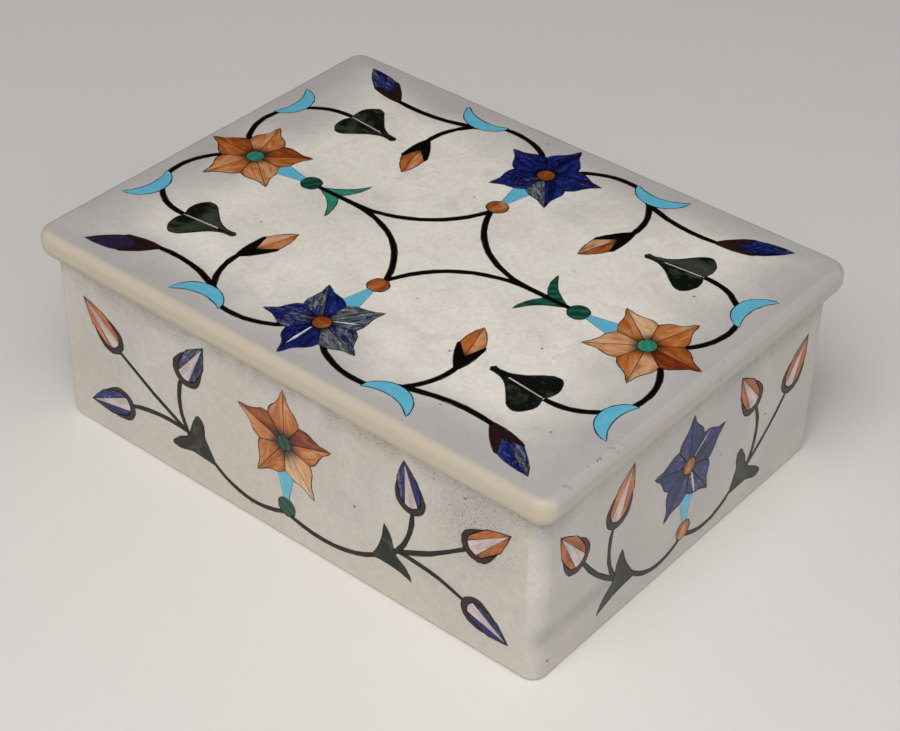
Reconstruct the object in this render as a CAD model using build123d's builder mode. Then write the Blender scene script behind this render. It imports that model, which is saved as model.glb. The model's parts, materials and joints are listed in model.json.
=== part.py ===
from build123d import *
import os
from math import acos, atan2, ceil, degrees

# A marble box with a lift-off lid, inlaid all round with flowers and scrolling stems of coloured stone.
# Millimetres, +Z up. The origin is on the table under the middle of the box. The front looks along -Y.

# Lid slab
lid_length = 101.6
lid_width = 76.2
lid_thickness = 5.3
lid_corner_radius = 3.0
lid_top_rounding = 1.4
lid_under_rounding = 2.6

# Body, hollowed from one block
lid_overhang = 2.0
body_height = 30.6
body_corner_radius = 1.8
body_foot_rounding = 0.8
wall_thickness = 5.5
floor_thickness = 5.0
cavity_corner_radius = 3.0
cavity_floor_bevel = 1.2

# Panel under the lid that drops into the cavity and keeps the lid in place
locating_panel_thickness = 2.4
locating_panel_bevel = 0.5
locating_clearance = 0.4

# Inlaid stones and the cement that holds them
stone_thickness = 1.2
cement_bed = 0.1
cement_line = 0.08
ground_flat_error = 0.13
disc_flats = 14
stem_width = 0.78
side_stem_width = 0.62

# Flowers: five petals, each of two half stones that meet on a ridge
petal_count = 5
flower_reach = 9.7
front_flower_reach = 10.1
flower_notch_radius = 5.4
petal_shoulder_along = 6.8
petal_shoulder_half_width = 1.65
petal_neck_length = 0.8
petal_neck_half_width = 0.36
petal_swell = 0.3
petal_hollow = 0.2
flower_centre_radius = 1.5
calyx_start = 5.0
calyx_widest = 6.3
calyx_end = 11.1
calyx_half_width = 1.65
calyx_end_half_width = 0.5
bead_distance = 12.5
bead_radius = 1.75

# Lid flowers stand this far in from the edge, petal tips outwards
lid_flower_inset = 11.35

# Leaf pair inside each side bead of the lid, measured towards the middle from the flower centre
leaf_root_distance = 14.8
leaf_inner_distance = 18.6
leaf_tip_distance = 20.6
leaf_tip_offset = 5.8
leaf_hollow = 0.8
leaf_swell = 0.55
scroll_start_distance = 21.5

# Corner sprigs of the lid, measured in from the two edges of the lid at the corner
crescent_end_in = (38.3, 4.4)
crescent_crown_in = (33.8, 7.4)
crescent_tip_in = (29.0, 2.6)
side_crescent_end_in = (4.3, 25.4)
side_crescent_crown_in = (7.2, 21.1)
side_crescent_tip_in = (2.6, 16.5)
crescent_end_half_width = 0.65
crescent_thickness = 2.6
lapis_bud_base_in = (18.8, 9.3)
lapis_bud_tip_in = (8.0, 3.6)
carnelian_bud_base_in = (30.8, 15.8)
carnelian_bud_tip_in = (34.0, 26.1)
heart_notch_in = (14.3, 18.3)
heart_tip_in = (25.4, 19.3)

# How far the hand-set sprigs stray sideways in each corner: right and back are positive
corners = ((1, 1), (-1, 1), (-1, -1), (1, -1))
sprig_stray = {(1, 1): 0.7, (-1, 1): -1.4, (-1, -1): -1.5, (1, -1): 2.0}
lapis_bud_stray = {(1, 1): 0.0, (-1, 1): -1.5, (-1, -1): 0.0, (1, -1): 1.9}

# Lid buds: a cup holds two half stones
bud_base_half_width = 0.4
bud_shoulder_along = 5.4
bud_half_width = 2.15
bud_base_swell = 0.25
bud_tip_swell = 0.35
cup_depth = 3.0
cup_arm_reach = 6.4

# Dark heart leaves: two half stones with a pale vein between them
heart_notch_depth = 0.9
heart_lobe_half_width = 5.1
heart_lobe_along = 1.9
heart_flank = (4.3, 3.9)
heart_neck = (8.3, 0.75)
heart_lobe_swell = 1.15
heart_flank_swell = 0.35
heart_tip_length = 0.5
heart_tip_half_width = 0.6
heart_flank_hollow = 0.3
heart_vein_width = 0.3
heart_vein_length = 7.5

# Rise of the stems' arcs on the lid, to the left of their run in the back right corner
flower_stem_rise = 1.35
side_flower_stem_rise = 1.5
lapis_stem_rise = -0.95
carnelian_stem_rise = 0.85
heart_stem_rise = 0.75
stem_overlap = 0.6
flower_stem_join = (2.6, 3.2)
side_flower_stem_join = (3.6, 2.2)

# Buds of the side faces: a dark horseshoe rim, a pale wedge and two coloured slivers
rim_base_thickness = 1.1
rim_side_thickness = 0.8
drop_swell = 0.5
shell_base_half_width = 1.5
shell_tip_gap = 0.7

# Side faces, measured from the middle of the face: right and up are positive
front_flower_at = (0.5, 3.7)
front_stems = (
    ((-0.9, -10.4), (-15.0, -8.5), 2.1),
    ((1.9, -10.4), (18.3, -8.1), -1.7),
)
front_forks = (
    ((-15.0, -8.6), (-17.6, -1.0), (-23.8, -9.3), (-20.2, -5.9)),
    ((18.2, -8.1), (20.2, -0.6), (25.6, -9.2), (22.3, -5.5)),
)
# Each branch: stem start, bud base, rise of the stem, bud tip, bud width
front_lapis_branches = (
    ((-20.4, -5.6), (-21.4, 4.4), 0.95, (-15.8, 13.3), 5.7),
    ((-20.4, -5.2), (-32.8, -6.5), -0.7, (-43.0, -10.1), 5.9),
    ((22.2, -5.4), (25.7, 4.0), -0.85, (24.0, 13.3), 5.6),
    ((22.2, -4.7), (35.2, -6.6), 0.7, (43.8, -10.5), 5.4),
)
front_carnelian_branches = (
    ((-20.4, -5.4), (-34.8, 3.0), 0.3, (-42.6, 10.6), 5.6),
    ((22.2, -5.2), (35.4, 3.1), -0.5, (43.6, 10.4), 5.4),
)
end_flower_at = (-0.2, 3.1)
end_stems = (
    ((-1.6, -11.1), (-12.8, -9.5), 1.9),
    ((1.2, -11.1), (12.5, -10.0), -1.7),
)
end_forks = (
    ((-12.8, -9.6), (-16.3, -2.3), (-21.9, -11.8), (-18.0, -7.3)),
    ((12.5, -10.1), (14.0, -2.8), (20.7, -11.3), (16.7, -7.5)),
)
end_carnelian_branches = (
    ((-18.0, -7.0), (-19.3, 3.4), 1.05, (-14.9, 13.2), 6.0),
    ((-18.2, -7.0), (-26.0, 1.4), 0.5, (-32.0, 10.4), 5.7),
    ((16.8, -7.2), (17.6, 3.6), -1.2, (12.2, 12.3), 5.4),
    ((17.0, -7.2), (26.1, 1.3), -0.4, (31.0, 10.2), 5.8),
)
fork_hollow = 0.5
fork_swell = 0.45

# Sizes that follow from the ones above
body_length = lid_length - 2 * lid_overhang
body_width = lid_width - 2 * lid_overhang
cavity_length = body_length - 2 * wall_thickness
cavity_width = body_width - 2 * wall_thickness
lid_top = body_height + lid_thickness
pocket_depth = stone_thickness + cement_bed
half_line = cement_line / 2
side_flower_x = lid_length / 2 - lid_flower_inset
end_flower_y = lid_width / 2 - lid_flower_inset

# Faces that carry stones, each with its normal outwards and its local Y up or to the back
lid_face = Plane(origin=(0, 0, lid_top), x_dir=(1, 0, 0), z_dir=(0, 0, 1))
side_faces = {
    "front": Plane(origin=(0, -body_width / 2, body_height / 2), x_dir=(1, 0, 0), z_dir=(0, -1, 0)),
    "back": Plane(origin=(0, body_width / 2, body_height / 2), x_dir=(-1, 0, 0), z_dir=(0, 1, 0)),
    "right": Plane(origin=(body_length / 2, 0, body_height / 2), x_dir=(0, 1, 0), z_dir=(1, 0, 0)),
    "left": Plane(origin=(-body_length / 2, 0, body_height / 2), x_dir=(0, -1, 0), z_dir=(-1, 0, 0)),
}

os.makedirs("parts", exist_ok=True)


def flipped(point):
    """The point mirrored in the line along X."""
    return Vector(point.X, -point.Y)


def placed(outline, at, heading=0):
    """An outline drawn along +X, turned to its heading in degrees and moved to its place."""
    return outline.moved(Location((at[0], at[1], 0), (0, 0, heading)))


def heading_of(start, end):
    """Direction in degrees from one point to another."""
    return degrees(atan2(end[1] - start[1], end[0] - start[0]))


def distance(start, end):
    return (Vector(*end) - Vector(*start)).length


def without(outlines, cut):
    """Outlines with other outlines cut away, so that neighbouring stones butt together."""
    with BuildSketch() as sketch:
        add(outlines)
        add(cut, mode=Mode.SUBTRACT)
    return sketch.sketch


def flats_along(arc):
    """Places along an arc, from 0 to 1, where the short flats of a ground edge meet."""
    flat_turn = 2 * acos(1 - ground_flat_error / max(arc.radius, ground_flat_error))
    flats = ceil(arc.length / arc.radius / flat_turn)
    return [flat / flats for flat in range(flats + 1)]


def bend(start, end, rise):
    """Draw an edge ground in short flats along an arc, whose rise is to the left of its run."""
    arc = SagittaArc(start, end, rise, mode=Mode.PRIVATE)
    Polyline([arc @ place for place in flats_along(arc)])


def bend_through(start, crown, end):
    """Draw an edge ground in short flats along the arc through three places."""
    arc = ThreePointArc(start, crown, end, mode=Mode.PRIVATE)
    Polyline([arc @ place for place in flats_along(arc)])


def trimmed(stem, cuts):
    """The longest piece that is left of a stem between the outlines it runs to."""
    pieces = without(stem, cuts).faces().sort_by(SortBy.AREA)
    return Sketch() + pieces[-1]


def shrunk(outline, amount=half_line):
    """An outline drawn in by the cement that surrounds a stone."""
    with BuildSketch() as sketch:
        add(outline)
        offset(amount=-amount, kind=Kind.INTERSECTION)
    return sketch.sketch


def mirrored_outline(draw_side):
    """A closed outline from one side's edges, drawn above the X axis, and their mirror image."""
    with BuildSketch() as sketch:
        with BuildLine():
            draw_side()
            mirror(about=Plane.XZ)
        make_face()
    return sketch.sketch


def disc(radius):
    """A small disc, ground round in short flats."""
    with BuildSketch() as sketch:
        RegularPolygon(radius, disc_flats)
    return sketch.sketch


def strip(start, end, rise, width, overlap):
    """A strip of even width along one arc, run on at both ends; its rise is to the left of its run."""
    arc = SagittaArc(start, end, rise, mode=Mode.PRIVATE)
    places = flats_along(arc)
    across = [(arc % place).rotate(Axis.Z, 90) * width / 2 for place in places]
    middle = [arc @ place for place in places]
    middle[0] -= (arc % 0) * overlap
    middle[-1] += (arc % 1) * overlap
    left = [point + half for point, half in zip(middle, across)]
    right = [point - half for point, half in zip(middle, across)]
    with BuildSketch() as sketch:
        Polygon(*left, *reversed(right), align=None)
    return sketch.sketch


def stem(start, end, rise, width):
    """A stone stem and the channel it lies in, both run on into the pieces that they join."""
    stone = strip(start, end, rise, width - cement_line, stem_overlap - half_line)
    channel = strip(start, end, rise, width, stem_overlap)
    return stone, channel


def bar(start, end, width):
    """A straight stone stem with square ends."""
    middle = (Vector(*start) + Vector(*end)) / 2
    with BuildSketch() as sketch:
        Rectangle(distance(start, end), width)
    return placed(sketch.sketch, (middle.X, middle.Y), heading_of(start, end))


def star(reach):
    """Outline of a flower with one petal along +X, its petals drawn out to fine tips."""
    notch = Vector(flower_notch_radius, 0).rotate(Axis.Z, 180 / petal_count)
    shoulder = Vector(petal_shoulder_along, petal_shoulder_half_width)
    neck = Vector(reach - petal_neck_length, petal_neck_half_width)
    tip = Vector(reach, 0)
    with BuildSketch() as sketch:
        with BuildLine():
            for petal in range(petal_count):
                turn = 360 / petal_count * petal
                near = [point.rotate(Axis.Z, turn) for point in (notch, shoulder, neck)]
                far = [flipped(point).rotate(Axis.Z, turn) for point in (notch, shoulder, neck)]
                bend(far[0], far[1], -petal_swell)
                bend(far[1], far[2], petal_hollow)
                Polyline(far[2], tip.rotate(Axis.Z, turn), near[2])
                bend(near[2], near[1], petal_hollow)
                bend(near[1], near[0], -petal_swell)
        make_face()
    return sketch.sketch


def half_petals(reach):
    """The ten half stones of a flower, with cement lines on the ridges and between the petals."""
    with BuildSketch() as sketch:
        add(shrunk(star(reach)))
        RegularPolygon(flower_centre_radius, 2 * petal_count, major_radius=False, mode=Mode.SUBTRACT)
        with PolarLocations(0, petal_count, angular_range=180):
            Rectangle(3 * reach, cement_line, mode=Mode.SUBTRACT)
    return sketch.sketch


def calyx(half_gap):
    """Wedge between the flower and its bead, along +X, with its edges drawn in by the gap."""
    with BuildSketch() as sketch:
        Polygon(
            (calyx_start, 0),
            (calyx_widest, calyx_half_width - half_gap),
            (calyx_end - half_gap, calyx_end_half_width - half_gap),
            (calyx_end - half_gap, half_gap - calyx_end_half_width),
            (calyx_widest, half_gap - calyx_half_width),
            align=None,
        )
    return sketch.sketch


def leaf(side):
    """One leaf of the pair beside a side stem of the lid, above it for side 1 and below it for side -1."""
    root = leaf_root_distance, side * stem_width / 2
    tip = leaf_tip_distance, side * leaf_tip_offset
    inner = leaf_inner_distance, side * stem_width / 2
    with BuildSketch() as sketch:
        with BuildLine():
            bend(root, tip, side * -leaf_hollow)
            bend(tip, inner, side * leaf_swell)
            Line(inner, root)
        make_face()
    return sketch.sketch


def crescent(end, crown, tip):
    """A horn with a blunt end, a swelling crown and a sharp tip, drawn between those three places."""
    end, crown, tip = Vector(*end), Vector(*crown), Vector(*tip)
    run = (tip - end).normalized()
    side = Vector(-run.Y, run.X)
    if side.dot(crown - end) < 0:
        side = -side
    crown_side = end + side * crescent_end_half_width
    hollow_side = end - side * crescent_end_half_width
    with BuildSketch() as sketch:
        with BuildLine():
            bend_through(crown_side, crown, tip)
            bend_through(tip, crown - side * crescent_thickness, hollow_side)
            Line(hollow_side, crown_side)
        make_face()
    return sketch.sketch


def bud(length):
    """Outline of a lid bud along +X from its stem to its tip."""
    base = Vector(0, bud_base_half_width)
    shoulder = Vector(bud_shoulder_along, bud_half_width)

    def side():
        Line((0, 0), base)
        bend(base, shoulder, bud_base_swell)
        bend(shoulder, (length, 0), bud_tip_swell)

    return mirrored_outline(side)


def bud_mouth(length, gap):
    """The part of a lid bud beyond its cup, with a pointed end that sits in the cup."""
    reach = 2 * bud_half_width
    slope = bud_half_width / (cup_arm_reach - cup_depth)
    with BuildSketch() as sketch:
        Polygon(
            (cup_depth + gap, 0),
            (cup_depth + gap + reach / slope, reach),
            (length + reach / slope, reach),
            (length + reach / slope, -reach),
            (cup_depth + gap + reach / slope, -reach),
            align=None,
        )
    return sketch.sketch


def bud_cup(length):
    return without(shrunk(bud(length)), bud_mouth(length, -half_line))


def bud_gems(length):
    """Two half stones of a lid bud, meeting on a ridge."""
    with BuildSketch() as sketch:
        add(shrunk(bud(length)))
        add(bud_mouth(length, half_line), mode=Mode.INTERSECT)
        Rectangle(3 * length, cement_line, mode=Mode.SUBTRACT)
    return sketch.sketch


def heart(length):
    """Outline of a heart leaf along +X from its notch to its blunt tip."""
    notch = Vector(heart_notch_depth, 0)
    lobe = Vector(heart_lobe_along, heart_lobe_half_width)
    flank = Vector(*heart_flank)
    neck = Vector(*heart_neck)
    blunt = Vector(length - heart_tip_length, heart_tip_half_width)

    def side():
        bend(notch, lobe, heart_lobe_swell)
        bend(lobe, flank, heart_flank_swell)
        bend(flank, neck, -heart_flank_hollow)
        Line(neck, blunt)
        Line(blunt, (length, 0))

    return mirrored_outline(side)


def heart_halves(length):
    with BuildSketch() as sketch:
        add(shrunk(heart(length)))
        with Locations((heart_vein_length / 2, 0)):
            Rectangle(heart_vein_length + cement_line, heart_vein_width + cement_line, mode=Mode.SUBTRACT)
        Rectangle(3 * length, cement_line, mode=Mode.SUBTRACT)
    return sketch.sketch


def heart_vein():
    with BuildSketch() as sketch:
        with Locations(((heart_vein_length + heart_notch_depth) / 2 + cement_line, 0)):
            Rectangle(heart_vein_length - heart_notch_depth - cement_line, heart_vein_width)
    return sketch.sketch


def drop(length, width):
    """Outline of a side-face bud along +X: a round base and a drawn-out tip."""
    half = width / 2

    def side():
        bend_through((0, 0), (half * (1 - 0.5**0.5), half * 0.5**0.5), (half, half))
        bend((half, half), (length, 0), drop_swell)

    return mirrored_outline(side)


def drop_window(length, width, gap):
    """The opening of the horseshoe rim, round at its base and straight along its arms."""
    half = width / 2
    inner = half - rim_side_thickness - gap
    with BuildSketch() as sketch:
        with BuildLine():
            bend_through((half, -inner), (rim_base_thickness + gap, 0), (half, inner))
            Polyline((half, inner), (2 * length, inner), (2 * length, -inner), (half, -inner))
        make_face()
    return sketch.sketch


def drop_rim(length, width):
    return without(shrunk(drop(length, width)), drop_window(length, width, -half_line))


def shell_wedge(length, gap):
    """Pale wedge between the two coloured slivers, with its point towards the tip of the bud."""
    base = shell_base_half_width - gap
    with BuildSketch() as sketch:
        Polygon((0, base), (length - shell_tip_gap - gap, 0), (0, -base), align=None)
    return sketch.sketch


def drop_shell(length, width):
    with BuildSketch() as sketch:
        add(drop_window(length, width, half_line))
        add(shell_wedge(length, half_line), mode=Mode.INTERSECT)
    return sketch.sketch


def drop_slivers(length, width):
    with BuildSketch() as sketch:
        add(shrunk(drop(length, width)))
        add(drop_window(length, width, half_line), mode=Mode.INTERSECT)
        add(shell_wedge(length, -half_line), mode=Mode.SUBTRACT)
        with Locations((length, 0)):
            Rectangle(2 * shell_tip_gap + cement_line, cement_line, mode=Mode.SUBTRACT)
    return sketch.sketch


def fork(base, up_tip, side_tip, crotch):
    """A dark leaf that parts in two, from its stem end to its upright and its sideways tip."""
    base, up_tip, side_tip, crotch = (Vector(*point) for point in (base, up_tip, side_tip, crotch))
    turn = 1 if (up_tip - base).cross(side_tip - base).Z > 0 else -1
    across = (crotch - base).normalized().rotate(Axis.Z, -90 * turn) * side_stem_width / 2
    with BuildSketch() as sketch:
        with BuildLine():
            bend(base + across, up_tip, turn * fork_hollow)
            bend(up_tip, crotch, turn * -fork_swell)
            bend(crotch, side_tip, turn * -fork_swell)
            bend(side_tip, base - across, turn * fork_hollow)
            Line(base - across, base + across)
        make_face()
    return sketch.sketch


def make_stones(node, face, outlines):
    """Cut flat stones to their outlines, flush with the face of the marble."""
    with BuildPart() as stones:
        with BuildSketch(face):
            add(outlines)
        extrude(amount=-stone_thickness)
    stones.part.label = node
    export_step(stones.part, f"parts/{node}.step")


def flower_parts(reach, at, heading):
    """Stones and pocket of a flower with its calyx and bead, its first petal along the heading."""
    inwards = heading + 180
    outline = star(reach)
    bead_outline = placed(disc(bead_radius), (-bead_distance, 0))
    wedge = without(placed(calyx(half_line), (0, 0), 180), [outline, bead_outline])
    wedge_pocket = placed(calyx(0), (0, 0), 180)
    bead_at = Vector(*at) + Vector(bead_distance, 0).rotate(Axis.Z, inwards)
    bead_place = (bead_at.X, bead_at.Y)
    return {
        "petals": placed(half_petals(reach), at, heading),
        "centre": placed(disc(flower_centre_radius - half_line), at),
        "calyx": placed(wedge, at, heading),
        "bead": placed(disc(bead_radius - half_line), bead_place),
        "pockets": [
            placed(outline, at, heading),
            placed(wedge_pocket, at, heading),
            placed(disc(bead_radius), bead_place),
        ],
    }


def lid_corner_place(corner, inset, stray=0.0):
    """A place near a corner of the lid, given how far it lies in from the corner's two edges."""
    x_side, y_side = corner
    return (x_side * (lid_length / 2 - inset[0] + stray), y_side * (lid_width / 2 - inset[1]))


def lid_corner_parts(corner):
    """Stones and pockets of the sprig in one corner of the lid."""
    x_side, y_side = corner
    turn = x_side * y_side
    stray = sprig_stray[corner] * x_side
    bud_stray = lapis_bud_stray[corner] * x_side

    crescent_places = [
        lid_corner_place(corner, inset, stray)
        for inset in (crescent_end_in, crescent_crown_in, crescent_tip_in)
    ]
    side_crescent_places = [
        lid_corner_place(corner, inset)
        for inset in (side_crescent_end_in, side_crescent_crown_in, side_crescent_tip_in)
    ]
    crescents = [crescent(*crescent_places), crescent(*side_crescent_places)]

    lapis_base = lid_corner_place(corner, lapis_bud_base_in, bud_stray)
    lapis_tip = lid_corner_place(corner, lapis_bud_tip_in, bud_stray)
    lapis_length = distance(lapis_base, lapis_tip)
    lapis_heading = heading_of(lapis_base, lapis_tip)
    carnelian_base = lid_corner_place(corner, carnelian_bud_base_in, stray)
    carnelian_tip = lid_corner_place(corner, carnelian_bud_tip_in, stray)
    carnelian_length = distance(carnelian_base, carnelian_tip)
    carnelian_heading = heading_of(carnelian_base, carnelian_tip)
    heart_notch = lid_corner_place(corner, heart_notch_in)
    heart_tip = lid_corner_place(corner, heart_tip_in)
    heart_length = distance(heart_notch, heart_tip)
    heart_heading = heading_of(heart_notch, heart_tip)

    buds = [
        placed(bud(lapis_length), lapis_base, lapis_heading),
        placed(bud(carnelian_length), carnelian_base, carnelian_heading),
    ]
    heart_outline = placed(heart(heart_length), heart_notch, heart_heading)

    flower_join = (x_side * flower_stem_join[0], y_side * (end_flower_y + flower_stem_join[1]))
    side_flower_join = (
        x_side * (side_flower_x + side_flower_stem_join[0]),
        y_side * side_flower_stem_join[1],
    )
    runs = {
        "flower": (flower_join, crescent_places[0], flower_stem_rise),
        "side_flower": (side_crescent_places[0], side_flower_join, side_flower_stem_rise),
        "lapis": (crescent_places[1], lapis_base, lapis_stem_rise),
        "carnelian": (crescent_places[1], carnelian_base, carnelian_stem_rise),
        "heart": (heart_notch, side_crescent_places[1], heart_stem_rise),
    }
    stems, channels = {}, {}
    for name, (start, end, rise) in runs.items():
        stems[name], channels[name] = stem(start, end, turn * rise, stem_width)
    return {
        "crescents": [shrunk(outline) for outline in crescents],
        "lapis_cup": placed(bud_cup(lapis_length), lapis_base, lapis_heading),
        "lapis_gems": placed(bud_gems(lapis_length), lapis_base, lapis_heading),
        "carnelian_cup": placed(bud_cup(carnelian_length), carnelian_base, carnelian_heading),
        "carnelian_gems": placed(bud_gems(carnelian_length), carnelian_base, carnelian_heading),
        "hearts": placed(heart_halves(heart_length), heart_notch, heart_heading),
        "vein": placed(heart_vein(), heart_notch, heart_heading),
        "flower_stems": [trimmed(stems["flower"], crescents), trimmed(stems["side_flower"], crescents)],
        "bud_stems": [
            trimmed(stems["lapis"], crescents + buds),
            trimmed(stems["carnelian"], crescents + buds + [channels["lapis"]]),
        ],
        "heart_stem": trimmed(stems["heart"], crescents + [heart_outline]),
        "pockets": crescents + buds + [heart_outline] + list(channels.values()),
    }


def lid_ornament():
    """Every stone of the lid by node, and the pockets cut for them."""
    flowers = {
        "back": flower_parts(flower_reach, (0, end_flower_y), 90),
        "front": flower_parts(flower_reach, (0, -end_flower_y), -90),
        "right": flower_parts(flower_reach, (side_flower_x, 0), 0),
        "left": flower_parts(flower_reach, (-side_flower_x, 0), 180),
    }
    sprigs = [lid_corner_parts(corner) for corner in corners]
    flower_outlines = [outline for flower in flowers.values() for outline in flower["pockets"]]

    scroll_start = side_flower_x - scroll_start_distance
    cusp = end_flower_y - bead_distance - bead_radius
    cusp_reach = cusp + bead_radius
    chord = distance((scroll_start, 0), (0, cusp))
    scroll_radius = chord**2 / (2 * cusp)
    scroll_rise = scroll_radius - (scroll_radius**2 - chord**2 / 4) ** 0.5
    trunk_end = side_flower_x - bead_distance
    arcs, arc_channels, trunks, trunk_channels, leaf_pairs, leaf_pockets = [], [], [], [], [], []
    for x_side, y_side in corners:
        start = (x_side * scroll_start, 0)
        end = (0, y_side * cusp)
        rise = x_side * y_side * scroll_rise
        arc, arc_channel = stem(start, end, rise, stem_width)
        arcs.append(arc)
        arc_channels.append(arc_channel)
        leaf_heading = 180 if x_side > 0 else 0
        leaf_at = (x_side * side_flower_x, 0)
        leaf_outline = placed(leaf(y_side), leaf_at, leaf_heading)
        leaf_pockets.append(leaf_outline)
        leaf_pairs.append(shrunk(leaf_outline))
    for x_side in (1, -1):
        start, end = (x_side * scroll_start, 0), (x_side * trunk_end, 0)
        trunks.append(bar(start, end, stem_width - cement_line))
        trunk_channels.append(bar(start, end, stem_width))

    with BuildSketch() as scroll_stones:
        add(arcs)
        Rectangle(2 * scroll_start, cement_line, mode=Mode.SUBTRACT)
        Rectangle(cement_line, 2 * cusp_reach, mode=Mode.SUBTRACT)
        add(trunks)
        with Locations((scroll_start, 0), (-scroll_start, 0)):
            Rectangle(cement_line, 2 * stem_width, mode=Mode.SUBTRACT)
        add(flower_outlines, mode=Mode.SUBTRACT)

    stones = {
        "lid_calyxes": [flower["calyx"] for flower in flowers.values()],
        "lid_carnelian_centres": [flowers[side]["centre"] for side in ("back", "front")],
        "lid_malachite_centres": [flowers[side]["centre"] for side in ("right", "left")],
        "lid_carnelian_beads": [flowers[side]["bead"] for side in ("back", "front")],
        "lid_malachite_beads": [flowers[side]["bead"] for side in ("right", "left")],
        "lid_leaves": leaf_pairs,
        "lid_scrolls": scroll_stones.sketch,
        "lid_flower_stems": [
            trimmed(stem, flower_outlines) for sprig in sprigs for stem in sprig["flower_stems"]
        ],
        "lid_bud_stems": [part for sprig in sprigs for part in sprig["bud_stems"]],
        "lid_heart_stems": [sprig["heart_stem"] for sprig in sprigs],
        "lid_crescents": [part for sprig in sprigs for part in sprig["crescents"]],
        "lid_hearts": [sprig["hearts"] for sprig in sprigs],
        "lid_heart_veins": [sprig["vein"] for sprig in sprigs],
        "lid_lapis_bud_gems": [sprig["lapis_gems"] for sprig in sprigs],
        "lid_lapis_bud_cups": [sprig["lapis_cup"] for sprig in sprigs],
        "lid_carnelian_bud_gems": [sprig["carnelian_gems"] for sprig in sprigs],
        "lid_carnelian_bud_cups": [sprig["carnelian_cup"] for sprig in sprigs],
    }
    for side, flower in flowers.items():
        stones[f"lid_{side}_flower_petals"] = flower["petals"]
    pockets = flower_outlines + arc_channels + trunk_channels + leaf_pockets
    for sprig in sprigs:
        pockets += sprig["pockets"]
    return stones, pockets


def side_branches(branches):
    """Stems, rims, slivers and shell wedges of the buds on a side face, with their pockets."""
    parts = {"stems": [], "rims": [], "slivers": [], "shells": [], "outlines": [], "channels": []}
    for start, base, rise, tip, width in branches:
        length = distance(base, tip)
        heading = heading_of(base, tip)
        parts["rims"].append(placed(drop_rim(length, width), base, heading))
        parts["slivers"].append(placed(drop_slivers(length, width), base, heading))
        parts["shells"].append(placed(drop_shell(length, width), base, heading))
        parts["outlines"].append(placed(drop(length, width), base, heading))
        stone, channel = stem(start, base, rise, side_stem_width)
        parts["stems"].append(stone)
        parts["channels"].append(channel)
    return parts


def side_ornament(flower_at, reach, stem_runs, fork_places, lapis_branches, carnelian_branches):
    """Every stone of one side face by its short name, and the pockets cut for them."""
    flower = flower_parts(reach, flower_at, 90)
    lapis = side_branches(lapis_branches)
    carnelian = side_branches(carnelian_branches)
    forks = [fork(*places) for places in fork_places]
    drops = lapis["outlines"] + carnelian["outlines"]
    branch_stems = lapis["stems"] + carnelian["stems"]
    channels = lapis["channels"] + carnelian["channels"]
    fenced = drops + forks + flower["pockets"]
    stems = []
    for index, stone in enumerate(branch_stems):
        stems.append(trimmed(stone, fenced + channels[:index]))
    for start, end, rise in stem_runs:
        stone, channel = stem(start, end, rise, side_stem_width)
        stems.append(trimmed(stone, fenced))
        channels.append(channel)
    stones = {
        "flower_petals": flower["petals"],
        "discs": [flower["centre"], flower["bead"]],
        "calyx": flower["calyx"],
        "leaf_forks": [shrunk(outline) for outline in forks],
        "stems": stems,
        "bud_rims": lapis["rims"] + carnelian["rims"],
        "lapis_slivers": lapis["slivers"],
        "carnelian_slivers": carnelian["slivers"],
        "shell_wedges": lapis["shells"] + carnelian["shells"],
    }
    pockets = flower["pockets"] + drops + forks + channels
    return stones, pockets


def cut_pockets(face, pockets):
    """Sink the pockets of one face into the marble that is being made."""
    with BuildSketch(face) as mouths:
        add(pockets)
    extrude(mouths.sketch, amount=-pocket_depth, mode=Mode.SUBTRACT)


lid_stones, lid_pockets = lid_ornament()
front_stones, front_pockets = side_ornament(
    front_flower_at, front_flower_reach, front_stems, front_forks, front_lapis_branches, front_carnelian_branches
)
end_stones, end_pockets = side_ornament(
    end_flower_at, flower_reach, end_stems, end_forks, (), end_carnelian_branches
)
side_stones = {"front": front_stones, "back": front_stones, "right": end_stones, "left": end_stones}
side_pockets = {"front": front_pockets, "back": front_pockets, "right": end_pockets, "left": end_pockets}

with BuildPart() as lid_slab:
    with BuildSketch(Plane.XY.offset(body_height)):
        RectangleRounded(lid_length, lid_width, lid_corner_radius)
    extrude(amount=lid_thickness)
    fillet(lid_slab.faces().sort_by(Axis.Z)[-1].edges(), lid_top_rounding)
    fillet(lid_slab.faces().sort_by(Axis.Z)[0].edges(), lid_under_rounding)
    cut_pockets(lid_face, lid_pockets)
lid_slab.part.label = "lid_slab"
export_step(lid_slab.part, "parts/lid_slab.step")

with BuildPart() as locating_panel:
    with BuildSketch(Plane.XY.offset(body_height - locating_panel_thickness)):
        RectangleRounded(
            cavity_length - 2 * locating_clearance,
            cavity_width - 2 * locating_clearance,
            cavity_corner_radius - locating_clearance,
        )
    extrude(amount=locating_panel_thickness)
    chamfer(locating_panel.faces().sort_by(Axis.Z)[0].edges(), locating_panel_bevel)
locating_panel.part.label = "lid_locating_panel"
export_step(locating_panel.part, "parts/lid_locating_panel.step")

with BuildPart() as box_body:
    with BuildSketch():
        RectangleRounded(body_length, body_width, body_corner_radius)
    extrude(amount=body_height)
    fillet(box_body.faces().sort_by(Axis.Z)[0].edges(), body_foot_rounding)
    with BuildSketch(Plane.XY.offset(floor_thickness)):
        RectangleRounded(cavity_length, cavity_width, cavity_corner_radius)
    cavity = extrude(amount=body_height - floor_thickness, mode=Mode.SUBTRACT)
    cavity_floor = box_body.faces().filter_by(Plane.XY).sort_by(Axis.Z)[1]
    chamfer(cavity_floor.edges(), cavity_floor_bevel)
    for side, face in side_faces.items():
        cut_pockets(face, side_pockets[side])
box_body.part.label = "box_body"
export_step(box_body.part, "parts/box_body.step")

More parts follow.
